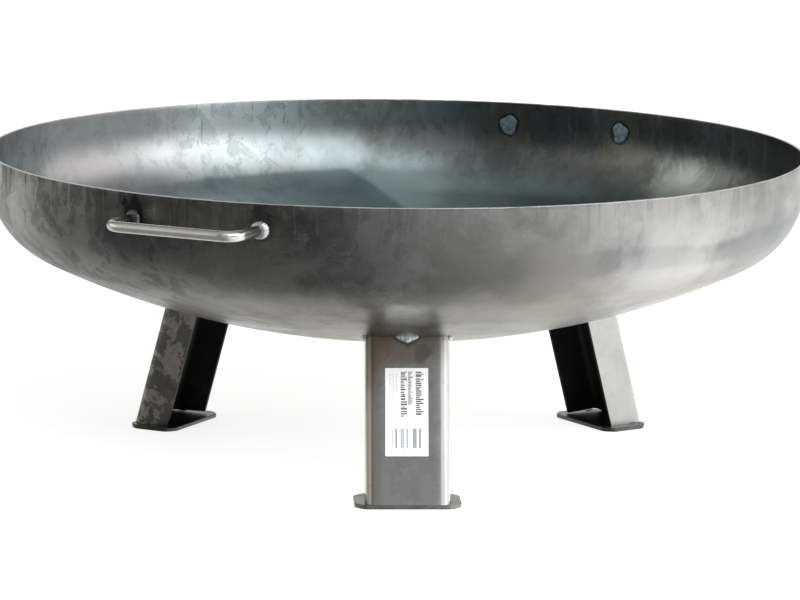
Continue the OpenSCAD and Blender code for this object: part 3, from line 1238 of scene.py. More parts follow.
@dataclass
class Handle:
    """A bar handle with the bead round each end and the weld's back inside the bowl."""

    name: str
    heading: float
    dish: DishShape
    bar: BarShape
    bar_finish: Finish
    bead_finishes: dict[int, Finish]
    back_finish: Finish
    weld_nodes: dict[int, str] = field(default_factory=dict)
    around: int = 28

    @property
    def height(self) -> float:
        """Height of the bar's centre."""
        return self.dish.rim_z - self.bar.drop

    def turn(self) -> Matrix:
        """Matrix that turns the handle to its heading."""
        return Matrix.Rotation(math.radians(self.heading), 4, "Z")

    def wall_x(self, y: float, z: float, grow: float | None = None) -> float:
        """Distance out to the dish's wall, square to the handle.

        Args:
            y: Place along the handle.
            z: Height.
            grow: 0 for the inside face; the outside face if left out.

        Returns:
            The distance in metres.
        """
        radius = self.dish.wall_radius(z, self.dish.sheet if grow is None else grow)
        return math.sqrt(radius**2 - y**2)

    def route(self) -> list[tuple[Vector, Vector]]:
        """Points along the bar's centre, each with the bar's direction.

        Returns:
            Pairs of place and direction, from the front end to the rear one.
        """
        bar, z = self.bar, self.height
        end_y = bar.pitch / 2
        grip_x = self.dish.radius + bar.reach
        bend_x, bend_y = grip_x - bar.bend, end_y - bar.bend
        start_x = self.wall_x(end_y, z) - 1.1 * MM
        half = []
        straight, turns, grip = 5, 12, 10
        for i in range(straight):
            x = start_x + (bend_x - start_x) * i / straight
            half.append((Vector((x, -end_y, z)), Vector((1, 0, 0))))
        for i in range(turns + 1):
            a = math.pi / 2 * i / turns
            spot = Vector((bend_x + bar.bend * math.sin(a), -bend_y - bar.bend * math.cos(a), z))
            half.append((spot, Vector((math.cos(a), math.sin(a), 0))))
        for i in range(1, grip + 1):
            half.append((Vector((grip_x, -bend_y + bend_y * i / grip, z)), Vector((0, 1, 0))))
        mirrored = [(Vector((p.x, -p.y, p.z)), Vector((-d.x, d.y, 0))) for p, d in reversed(half[:-1])]
        return half + mirrored

    def build(self) -> None:
        """Makes the bar, its two beads and the two weld backs."""
        turn = self.turn()
        builder = MeshBuilder(f"{self.name}_bar", (self.bar_finish,))
        rows = []
        for spot, along in self.route():
            across = along.cross(Vector((0, 0, 1)))
            row = []
            for c in range(self.around):
                a = 2 * math.pi * c / self.around
                out = across * math.cos(a) + Vector((0, 0, 1)) * math.sin(a)
                row.append(turn @ (spot + out * self.bar.radius))
            rows.append(row)
        firsts = builder.add_grid(rows, closed=True)
        builder.add_face([firsts[0] + c for c in range(self.around)])
        builder.add_face([firsts[-1] + c for c in reversed(range(self.around))])
        builder.place("bar_steel", replaces=self.name)
        for side, node in self.weld_nodes.items():
            self.build_bead(side, node)
            self.build_back(side, node)

    def build_bead(self, side: int, node: str) -> None:
        """Makes the fillet round one end of the bar.

        Args:
            side: -1 or 1, the end along the handle.
            node: The CAD node that the fillet stands for.
        """
        turn, bar = self.turn(), self.bar
        end_y = side * bar.pitch / 2
        stations = []
        count = 54
        for i in range(count):
            a = 2 * math.pi * i / count
            out = Vector((0, math.cos(a), math.sin(a)))
            y, z = end_y + out.y * bar.radius, self.height + out.z * bar.radius
            corner = Vector((self.wall_x(y, z), y, z))
            far_y, far_z = y + out.y * bar.fillet, z + out.z * bar.fillet
            foot = Vector((self.wall_x(far_y, far_z), far_y, far_z)) - corner
            leg = bar.fillet * (0.90 + 0.06 * math.sin(2 * a + side))
            out_along_bar = (turn @ Vector((1, 0, 0))).normalized()
            stations.append(
                Station(turn @ corner, (turn @ foot).normalized(), out_along_bar, leg)
            )
        builder = MeshBuilder(f"{node}_bead", (self.bead_finishes[side],))
        seed = 11 + side + int(self.heading)
        bead = Bead(node, tuple(stations), closed=True, ripple_every=3, ripples=0.045, crown=0.10,
                    seed=seed)
        bead.build(builder)
        builder.place("weld_metal", replaces=node)

    def build_back(self, side: int, node: str) -> None:
        """Makes the low puddle where the weld comes through inside the bowl.

        Args:
            side: -1 or 1, the end along the handle.
            node: The CAD node of the same end's fillet, for the name.
        """
        turn = self.turn()
        builder = MeshBuilder(f"{node}_back", (self.back_finish,))
        end_y = side * self.bar.pitch / 2
        rings, around = 9, 40
        wide, tall, swell = 10.0 * MM, 11.5 * MM, 0.8 * MM
        rows = []
        for r in range(rings, -1, -1):
            share = r / rings
            row = []
            for c in range(around):
                a = 2 * math.pi * c / around
                edge = 1 + 0.10 * math.sin(3 * a + side) + 0.06 * math.sin(5 * a)
                y = end_y + wide * share * edge * math.cos(a)
                z = self.height + tall * share * edge * math.sin(a)
                lump = noise.noise(Vector((y, z, side * 0.1)) * 420)
                rise = swell * (1 - share**2) * (0.75 + 0.5 * lump) + 0.18 * MM * math.sin(26 * share)
                x = self.wall_x(y, z, 0.0) - max(rise, 0.0)
                if r == rings:
                    x = self.wall_x(y, z, 0.0) + 0.3 * MM
                row.append(turn @ Vector((x, y, z)))
            rows.append(row)
        firsts = builder.add_grid(rows[:-1], closed=True)
        middle = builder.add_points([rows[-1][0]])
        for c in range(around):
            builder.add_face((firsts[-1] + c, firsts[-1] + (c + 1) % around, middle))
        builder.add_face([firsts[0] + c for c in reversed(range(around))])
        builder.place("weld_metal")


@dataclass
class Leg:
    """A folded channel with its foot plate and welds."""

    name: str
    heading: float
    dish: DishShape
    shape: LegShape
    outside: Finish
    inside: Finish
    edge: Finish
    plate_finish: Finish
    weld_finish: Finish
    foot_weld_finish: Finish
    plate_width: float = 100 * MM
    plate_depth: float = 53 * MM
    chamfer: float = 9 * MM
    gap_side: int = 0
    gap_at_fold: float = 0.0
    gap_at_end: float = 0.0
    rows: int = 14
    seed: int = 1

    def half_section(self, inset: float) -> list[tuple[float, float]]:
        """One face of the folded section, from one flange's end to the other's.

        Args:
            inset: 0 for the outside face, the sheet's thickness for the inside.

        Returns:
            Pairs of place outward and place across.
        """
        shape = self.shape
        bend, half = shape.bend - inset, shape.width / 2 - inset
        flange_steps, bend_steps, web_steps = 5, 8, 10
        side = []
        for i in range(flange_steps):
            share = i / flange_steps
            side.append((-shape.depth + (shape.depth - shape.bend) * share, half))
        for i in range(bend_steps + 1):
            a = math.pi / 2 * i / bend_steps
            side.append((-shape.bend + bend * math.sin(a), half - bend + bend * math.cos(a)))
        flat = half - bend
        web = [(-inset, flat - 2 * flat * i / web_steps) for i in range(1, web_steps)]
        return side + web + [(x, -y) for x, y in reversed(side)]

    def build(self) -> None:
        """Makes the channel, its plate and all its welds."""
        self.build_channel()
        self.build_plate()
        self.build_web_weld()
        self.build_corner_welds()
        self.build_foot_welds()

    def build_channel(self) -> None:
        """Makes the folded sheet, cut level at the foot and to the dish at the top."""
        shape, stance = self.shape, self.shape.stance(self.heading)
        outer, inner = self.half_section(0.0), self.half_section(shape.sheet)
        loop = outer + inner[::-1]
        count = len(outer)
        rows = []
        for r in range(self.rows + 1):
            share = r / self.rows
            row = []
            for k, (x, y) in enumerate(loop):
                low = shape.foot_step(x) + self.lift(x, y)
                high = shape.top_step(x, y, self.dish)
                row.append(stance @ Vector((x, y, low + (high - low) * share)))
            rows.append(row)

        def finish(row: int, column: int) -> int:
            """Picks the finish of one face of the sheet.

            Args:
                row: The face's row up the leg; not used.
                column: Its place round the section.

            Returns:
                The number of the finish.
            """
            if column < count - 1:
                return Face.OUTSIDE.value
            return Face.EDGE.value if column in (count - 1, 2 * count - 1) else Face.INSIDE.value

        builder = MeshBuilder(f"{self.name}_channel", (self.outside, self.inside, self.edge))
        firsts = builder.add_grid(rows, closed=True, finish=finish)
        for first in (firsts[0], firsts[-1]):
            for k in range(count - 1):
                near, far = first + k, first + 2 * count - 1 - k
                builder.add_face((near, near + 1, far - 1, far), Face.EDGE.value)
        builder.place("leg_steel", replaces=self.name, bevel=0.2 * MM)

    def lift(self, x: float, y: float) -> float:
        """How far the foot of the leg stands off its plate.

        Args:
            x: Place outward of the section's point.
            y: Place across of the section's point.

        Returns:
            The gap in metres, 0 except under one flange.
        """
        if y * self.gap_side <= 0:
            return 0.0
        shape = self.shape
        onto_flange = min(max((abs(y) - shape.width / 2 + shape.bend) / shape.bend, 0.0), 1.0)
        along = min(max((-x - shape.bend) / (shape.depth - shape.bend), 0.0), 1.0)
        return onto_flange * (self.gap_at_fold + (self.gap_at_end - self.gap_at_fold) * along)

    def build_plate(self) -> None:
        """Makes the foot plate with its cropped corners."""
        shape = self.shape
        half, c, d = self.plate_width / 2, self.chamfer, self.plate_depth
        outline = [(0, c - half), (c, -half), (d - c, -half), (d, c - half)]
        outline += [(x, -y) for x, y in reversed(outline)]
        outline = self.softened(outline, 3.5 * MM)
        turn = Matrix.Rotation(math.radians(self.heading), 4, "Z")
        start = shape.foot_radius - d
        builder = MeshBuilder(f"foot_plate_{self.name[4:]}_blank", (self.plate_finish,))
        levels = (0.0, 0.35 * shape.plate, shape.plate)
        rows = [[turn @ Vector((start + x, y, z)) for x, y in outline] for z in levels]
        firsts = builder.add_grid(rows, closed=True)
        builder.add_face([firsts[0] + k for k in range(len(outline))])
        builder.add_face([firsts[-1] + k for k in reversed(range(len(outline)))])
        builder.place("plate_steel", replaces=f"foot_plate_{self.name[4:]}", bevel=0.7 * MM)

    @staticmethod
    def softened(outline: list[tuple[float, float]], reach: float) -> list[tuple[float, float]]:
        """Rounds every corner of an outline.

        Args:
            outline: Its corners in order.
            reach: How far along each side the rounding starts.

        Returns:
            The outline with four points in place of each corner.
        """
        rounded = []
        for i, corner in enumerate(outline):
            here = Vector(corner)
            before, after = Vector(outline[i - 1]), Vector(outline[(i + 1) % len(outline)])
            start = here + (before - here).normalized() * reach
            end = here + (after - here).normalized() * reach
            for k in range(4):
                t = k / 3
                rounded.append(tuple(start * (1 - t) ** 2 + here * 2 * t * (1 - t) + end * t**2))
        return rounded

    def local_station(
        self, corner: Vector, toward_a: Vector, toward_b: Vector, leg: float, share_a: float = 1.0
    ) -> Station:
        """A weld station given in the leg's leaning axes.

        Args:
            corner: Where the two faces meet.
            toward_a: Direction along the first face.
            toward_b: Direction along the second face.
            leg: Size of the fillet.
            share_a: How much of that size it has along the first face.

        Returns:
            The station in the bowl's axes.
        """
        stance = self.shape.stance(self.heading)
        turn = stance.to_3x3()
        along_a, along_b = (turn @ toward_a).normalized() * share_a, (turn @ toward_b).normalized()
        return Station(stance @ corner, along_a, along_b, leg)

    def top_corner(self, x: float, y: float) -> Vector:
        """The point in the leg's axes where a point of its section meets the bowl."""
        return Vector((x, y, self.shape.top_step(x, y, self.dish)))

    def dish_slope(self, x: float, y: float, outward: Vector) -> Vector:
        """Direction along the dish's underside at a leg's top.

        Args:
            x: Place outward of the section's point.
            y: Place across of the section's point.
            outward: The way the face looks, in the leg's axes.

        Returns:
            A unit vector that lies in the dish's face.
        """
        stance = self.shape.stance(self.heading)
        centre = stance.inverted() @ Vector((0, 0, self.dish.crown_z))
        normal = (self.top_corner(x, y) - centre).normalized()
        return (outward - normal * outward.dot(normal)).normalized()

    def build_web_weld(self) -> None:
        """Makes the tack at the top middle of the outer face."""
        length, count, off_middle = 21 * MM, 25, 1.0 * MM
        least_leg, swell, thickest = 1.7, 4.7, 2.4 * MM
        down = Vector((0, 0, -1))
        stations = []
        for i in range(count):
            u = 2 * i / (count - 1) - 1
            y = u * length / 2 - off_middle
            leg = (least_leg + swell * (1 - abs(u)) ** 0.85) * MM
            slope = self.dish_slope(0.0, y, Vector((1, 0, 0)))
            share = min(thickest / leg, 1.0)
            stations.append(self.local_station(self.top_corner(0.0, y), slope, down, leg, share))
        builder = MeshBuilder(f"web_weld_{self.name[4:]}_bead", (self.weld_finish,))
        bead = Bead(self.name, tuple(stations), ripples=0.05, ripple_every=3, crown=0.05,
                    seed=self.seed)
        bead.build(builder)
        builder.place("weld_metal", replaces=f"web_weld_{self.name[4:]}")

    def build_corner_welds(self) -> None:
        """Makes the two small tacks at the top corners."""
        builder = MeshBuilder(f"corner_welds_{self.name[4:]}_beads", (self.weld_finish,))
        count, length, swell, least_leg = 13, 8.5 * MM, 4.0 * MM, 0.3 * MM
        down = Vector((0, 0, -1))
        for side in (-1, 1):
            stations = []
            for i in range(count):
                u = 2 * i / (count - 1) - 1
                x = -self.shape.bend + u * length / 2
                y = side * self.shape.width / 2
                leg = swell * max(1 - abs(u) ** 2, 0.0) ** 0.6 + least_leg
                slope = self.dish_slope(x, y, Vector((0, side, 0)))
                stations.append(self.local_station(self.top_corner(x, y), slope, down, leg))
            seed = self.seed + side + 3
            Bead(self.name, tuple(stations), ripples=0.06, crown=0.05, seed=seed).build(builder)
        builder.place("weld_metal", replaces=f"corner_welds_{self.name[4:]}")

    def build_foot_welds(self) -> None:
        """Makes the fillets inside the flanges and the tacks outside the folds."""
        builder = MeshBuilder(f"foot_welds_{self.name[4:]}_beads", (self.foot_weld_finish,))
        shape = self.shape
        turn = Matrix.Rotation(math.radians(self.heading), 4, "Z")
        axes = turn.to_3x3()
        tack, fillet, least_leg = 9 * MM, 24 * MM, 0.3 * MM
        runs = (
            (shape.width / 2 - shape.sheet, -1, fillet / 2, fillet),
            (shape.width / 2, 1, tack / 2, tack),
        )
        middles = (-shape.depth / 2 - shape.sheet, -shape.bend - tack / 2)
        for side in (-1, 1):
            for (offset, facing, half, length), middle in zip(runs, middles):
                if facing < 0 and side == self.gap_side:
                    continue
                count = max(int(length / (1.0 * MM)), 9)
                stations = []
                for i in range(count + 1):
                    u = 2 * i / count - 1
                    corner = Vector((shape.foot_radius + middle + u * half, side * offset, shape.plate))
                    size = 3.0 * MM if facing < 0 else (0.6 if side == self.gap_side else 1.2) * MM
                    leg = size * max(1 - abs(u) ** 4, 0.0) ** 0.5 + least_leg
                    away = axes @ Vector((0, side * facing, 0))
                    stations.append(Station(turn @ corner, away, Vector((0, 0, 1)), leg))
                seed = self.seed + 5
                Bead(self.name, tuple(stations), ripples=0.07, crown=0.05, seed=seed).build(builder)
        builder.place("weld_metal", replaces=f"foot_welds_{self.name[4:]}")


@dataclass
class Label:
    """The paper label, printed with plain bars in place of words."""

    shape: LegShape
    heading: float
    paper: Finish
    inks: tuple[Finish, ...]
    width: float = 40 * MM
    height: float = 82 * MM
    side: float = -1.5 * MM
    up: float = 86.7 * MM
    thick: float = 0.12 * MM
    rows: tuple[tuple[float, float, float, float, float, int], ...] = (
        (8.4, 78.6, 38.5, 5.2, 4.3, 0),
        (1.2, 78.6, 48.0, 3.2, 2.4, 1),
        (-5.6, 78.6, 36.5, 4.2, 4.6, 4),
    )
    lines: tuple[tuple[float, float, float], ...] = (
        (-9.6, 78.0, 60.0), (-12.6, 78.0, 34.0), (-15.4, 78.0, 68.0),
    )

    def spot(self, across: float, up: float, proud: float) -> Vector:
        """A point on the label.

        Args:
            across: Place across the label, from its middle.
            up: Place up the label, from its foot.
            proud: Height above the leg's face.

        Returns:
            The point in the bowl's axes.
        """
        stance = self.shape.stance(self.heading)
        return stance @ Vector((proud, self.side + across, self.up - self.height / 2 + up))

    def bars(self) -> list[tuple[float, float, float, float, int]]:
        """The printed marks: rows of plain blocks, thin lines and a block of stripes.

        Returns:
            Across, up, width, height and ink of each, in metres from the label's foot and middle.
        """
        draw = random.Random(4)
        printed = []
        for across, top, bottom, tall, step, ink in self.rows:
            up = top
            while up > bottom:
                long = step * draw.choice((0.30, 0.45, 0.45, 0.60))
                rise = tall * draw.choice((0.7, 1.0, 1.0, 1.4))
                printed.append((across + rise / 2, up - long * 0.58, rise, long * 0.58, ink))
                up -= long
        for across, top, bottom in self.lines:
            up = top
            while up > bottom:
                long = draw.uniform(2.0, 6.0)
                printed.append((across, up - long, 0.55, long * 0.85, 3))
                up -= long
        across = -13.6
        while across < 13.2:
            wide = draw.choice((0.4, 0.6, 0.9, 1.3))
            if draw.random() < 0.74:
                printed.append((across + wide / 2, 7.6, wide, 18.2, 1 if -10.5 < across < -7.0 else 2))
            across += wide
        printed += [(-15.5 + 4.3 * k, 4.3, 1.5, 1.6, 3) for k in range(8)]
        return [(a * MM, u * MM, w * MM, h * MM, ink) for a, u, w, h, ink in printed]

    def build(self) -> None:
        """Makes the paper and its printed bars."""
        builder = MeshBuilder("label_paper_sheet", (self.paper, *self.inks))
        across_steps, up_steps = 8, 16

        def sheet_rows(proud: float) -> list[list[Vector]]:
            """Lays out one face of the paper.

            Args:
                proud: Height of the face above the leg.

            Returns:
                Rows of points.
            """
            rows = []
            for r in range(up_steps + 1):
                row = []
                for c in range(across_steps + 1):
                    u, v = c / across_steps - 0.5, r / up_steps
                    curl = 0.10 * MM * max(abs(u) * 2 - 0.8, 0) / 0.2 * max(v - 0.85, 0) / 0.15
                    row.append(self.spot(u * self.width, v * self.height, proud + curl))
                rows.append(row)
            return rows

        front = builder.add_grid(sheet_rows(self.thick), closed=False)
        back = builder.add_grid(sheet_rows(0.0), closed=False)
        for r in range(up_steps):
            for c in (0, across_steps):
                builder.add_face((front[r] + c, front[r + 1] + c, back[r + 1] + c, back[r] + c))
        for r in (0, up_steps):
            for c in range(across_steps):
                builder.add_face((front[r] + c, front[r] + c + 1, back[r] + c + 1, back[r] + c))
        for across, up, wide, tall, ink in self.bars():
            corners = ((-wide / 2, 0), (wide / 2, 0), (wide / 2, tall), (-wide / 2, tall))
            low, high = (
                builder.add_points([self.spot(across + a, up + u, self.thick + proud) for a, u in corners])
                for proud in (-0.02 * MM, 0.03 * MM)
            )
            builder.add_face([high + k for k in range(4)], ink + 1)
            builder.add_face([low + k for k in reversed(range(4))], ink + 1)
            for k in range(4):
                builder.add_face((low + k, low + (k + 1) % 4, high + (k + 1) % 4, high + k), ink + 1)
        builder.place("label_paper", replaces="label")


# ---------------------------------------------------------------------------
# Studio
# ---------------------------------------------------------------------------


@dataclass(frozen=True)
class Glow:
    """A soft round area of light in the surroundings."""

    toward: Point
    start: float
    full: float
    strength: float
    colour: Colour = (1.0, 1.0, 1.0)


@dataclass(frozen=True)
class Panel:
    """A softbox in the surroundings; its edges are slopes away from the direction that it stands in."""

    heading: float
    left: float
    right: float
    low: float
    high: float
    strength: float
    soft: float = 0.06
    colour: Colour = (1.0, 1.0, 1.0)


@dataclass
class Studio:
    """Camera, pale floor and soft surroundings. Directions are right, front and up from the camera."""

    azimuth: float = -153.0
    elevation: float = 9.82
    distance: float = 3.931
    aim_side: float = 4.4 * MM
    aim_height: float = 148.7 * MM
    roll: float = 0.63
    focal: float = 179.0
    floor_radius: float = 14.0
    fill_power: float = 130.0
    fill_size: float = 2.5
    fill_distance: float = 4.0
    surround: float = 0.10
    ground: float = 0.10
    ground_right: float = 0.80
    ground_back: float = 0.42
    glows: tuple[Glow, ...] = (
        Glow((0.0, -1.0, 0.10), 0.80, 0.97, 0.80, (1.0, 0.99, 0.96)),
        Glow((0.0, 0.92, 0.40), 0.70, 0.98, 0.22),
        Glow((-0.9, 0.1, 0.40), 0.70, 0.97, 0.30, (1.0, 0.96, 0.90)),
        Glow((0.0, 0.0, 1.0), 0.75, 0.97, 0.22, (0.90, 0.97, 1.0)),
    )
    panels: tuple[Panel, ...] = (
        Panel(48.0, -0.75, 0.80, 0.34, 1.55, 1.40, 0.06, (0.93, 0.98, 1.0)),
        Panel(4.0, -0.55, 0.55, 0.95, 2.30, 0.60, 0.14, (0.86, 0.97, 1.0)),
        Panel(92.0, -0.75, 0.80, 0.04, 0.62, 1.35, 0.06, (1.0, 0.98, 0.96)),
        Panel(-95.0, -0.70, 0.70, 0.04, 0.60, 0.42, 0.10, (1.0, 0.94, 0.84)),
    )

    def axes(self) -> tuple[Vector, Vector]:
        """The camera's right and front directions on the floor."""
        a = math.radians(self.azimuth)
        return Vector((-math.sin(a), math.cos(a), 0)), Vector((math.cos(a), math.sin(a), 0))

    def aim(self, toward: Point) -> Vector:
        """A direction given as right, front and up, in the bowl's axes."""
        right, front = self.axes()
        return (right * toward[0] + front * toward[1] + Vector((0, 0, toward[2]))).normalized()

    def build(self) -> None:
        """Makes the camera, the floor and the surroundings."""
        self.build_camera()
        self.build_floor()
        self.build_fill()
        self.build_surroundings()
        bpy.context.scene.view_settings.view_transform = "Standard"

    def build_camera(self) -> None:
        """Stands the camera at its angle."""
        right, front = self.axes()
        e = math.radians(self.elevation)
        target = right * self.aim_side + Vector((0, 0, self.aim_height))
        back = front * math.cos(e) + Vector((0, 0, math.sin(e)))
        rotation = (-back).to_track_quat("-Z", "Y").to_matrix().to_4x4()
        camera = bpy.data.objects.new("camera", bpy.data.cameras.new("camera"))
        camera.data.lens = self.focal
        camera.data.sensor_width = 36.0
        camera.data.clip_end = 100.0
        roll = Matrix.Rotation(math.radians(self.roll), 4, "Z")
        camera.matrix_world = Matrix.Translation(target + back * self.distance) @ rotation @ roll
        bpy.context.scene.collection.objects.link(camera)
        bpy.context.scene.camera = camera

    def build_floor(self) -> None:
        """Lays the pale floor. It is left out of mirror-like reflections, which show the surroundings."""
        mesh = bpy.data.meshes.new("studio_floor")
        around = 96
        turns = [2 * math.pi * k / around for k in range(around)]
        rim = [(self.floor_radius * math.cos(a), self.floor_radius * math.sin(a), 0) for a in turns]
        mesh.from_pydata(rim, [], [tuple(range(around))])
        mesh.materials.append(StudioFloor("studio_floor").material())
        floor = bpy.data.objects.new("studio_floor", mesh)
        bpy.context.scene.collection.objects.link(floor)
        floor.visible_glossy = False

    def build_fill(self) -> None:
        """Hangs a large soft light for the paper and the floor, out of the bare steel's reflections."""
        lamp = bpy.data.lights.new("fill", "AREA")
        lamp.energy, lamp.size = self.fill_power, self.fill_size
        fill = bpy.data.objects.new("fill", lamp)
        place = self.aim((0.25, 0.8, 0.75)) * self.fill_distance
        facing = (-place).to_track_quat("-Z", "Y").to_matrix().to_4x4()
        fill.matrix_world = Matrix.Translation(place) @ facing
        fill.visible_glossy = False
        fill.visible_camera = False
        bpy.context.scene.collection.objects.link(fill)

    def build_surroundings(self) -> None:
        """Fills the surroundings with soft areas of light, white where the camera looks past the floor."""
        world = bpy.data.worlds.new("soft_studio")
        world.use_nodes = True
        sheet = NodeSheet(world.node_tree)
        look = sheet.add("ShaderNodeTexCoord").outputs["Generated"]
        total: object = (self.surround, self.surround, self.surround)
        for share, colour in self.lights(sheet, look):
            total = sheet.shifted(total, sheet.scale_colour(colour, share))
        lit = sheet.add("ShaderNodeBackground", None, {"Color": total, "Strength": 1.0})
        white = sheet.add("ShaderNodeBackground", None, {"Color": (1.0, 1.0, 1.0, 1.0), "Strength": 1.0})
        seen = sheet.add("ShaderNodeLightPath").outputs["Is Camera Ray"]
        both = sheet.add("ShaderNodeMixShader", None, {0: seen, 1: lit.outputs[0], 2: white.outputs[0]})
        sheet.add("ShaderNodeOutputWorld", None, {0: both.outputs[0]})
        bpy.context.scene.world = world

    def lights(self, sheet: NodeSheet, look: object) -> Iterable[tuple[Value, Colour]]:
        """Each area of light as its strength in every direction, with its colour.

        Args:
            sheet: The world's nodes.
            look: The direction looked in.

        Returns:
            Pairs of strength and colour.
        """
        rightward = sheet.dot(look, tuple(self.aim((1.0, 0.0, 0.0))))
        frontward = sheet.dot(look, tuple(self.aim((0.0, 1.0, 0.0))))
        upward = sheet.dot(look, (0.0, 0.0, 1.0))
        below = upward.step(0.04, -0.12)
        yield below * self.ground, (1.0, 1.0, 0.97)
        yield below * rightward.step(-0.15, 0.65) * self.ground_right, (1.0, 1.0, 1.0)
        yield below * frontward.step(0.10, -0.75) * self.ground_back, (1.0, 0.98, 0.91)
        for glow in self.glows:
            toward = sheet.dot(look, tuple(self.aim(glow.toward)))
            yield toward.step(glow.start, glow.full) * glow.strength, glow.colour
        for panel in self.panels:
            a = math.radians(panel.heading)
            depth = sheet.dot(look, tuple(self.aim((math.sin(a), math.cos(a), 0.0))))
            near = depth.most(0.05)
            across = sheet.dot(look, tuple(self.aim((math.cos(a), -math.sin(a), 0.0)))) / near
            rise = upward / near
            share = depth.step(0.05, 0.15) * panel.strength
            share = share * across.step(panel.left - panel.soft, panel.left + panel.soft)
            share = share * across.step(panel.right + panel.soft, panel.right - panel.soft)
            share = share * rise.step(panel.low - panel.soft, panel.low + panel.soft)
            yield share * rise.step(panel.high + panel.soft, panel.high - panel.soft), panel.colour


# ---------------------------------------------------------------------------
# Assembly
# ---------------------------------------------------------------------------


def leg_top(shape: LegShape, dish: DishShape, heading: float) -> Point:
    """The point where the middle of a leg's outer face meets the bowl."""
    return tuple(shape.stance(heading) @ Vector((0, 0, shape.top_step(0.0, 0.0, dish))))


def handle_ends(dish: DishShape, bar: BarShape, heading: float, grow: float) -> list[Point]:
    """The two points where a handle meets the dish.

    Args:
        dish: The dish.
        bar: The handle's bar.
        heading: Direction of the handle, in degrees.
        grow: 0 for the inside face, the sheet's thickness for the outside.

    Returns:
        The front and rear points in the bowl's axes.
    """
    z = dish.rim_z - bar.drop
    y = bar.pitch / 2
    x = math.sqrt(dish.wall_radius(z, grow) ** 2 - y**2)
    turn = Matrix.Rotation(math.radians(heading), 4, "Z")
    return [tuple(turn @ Vector((x, side * y, z))) for side in (-1, 1)]


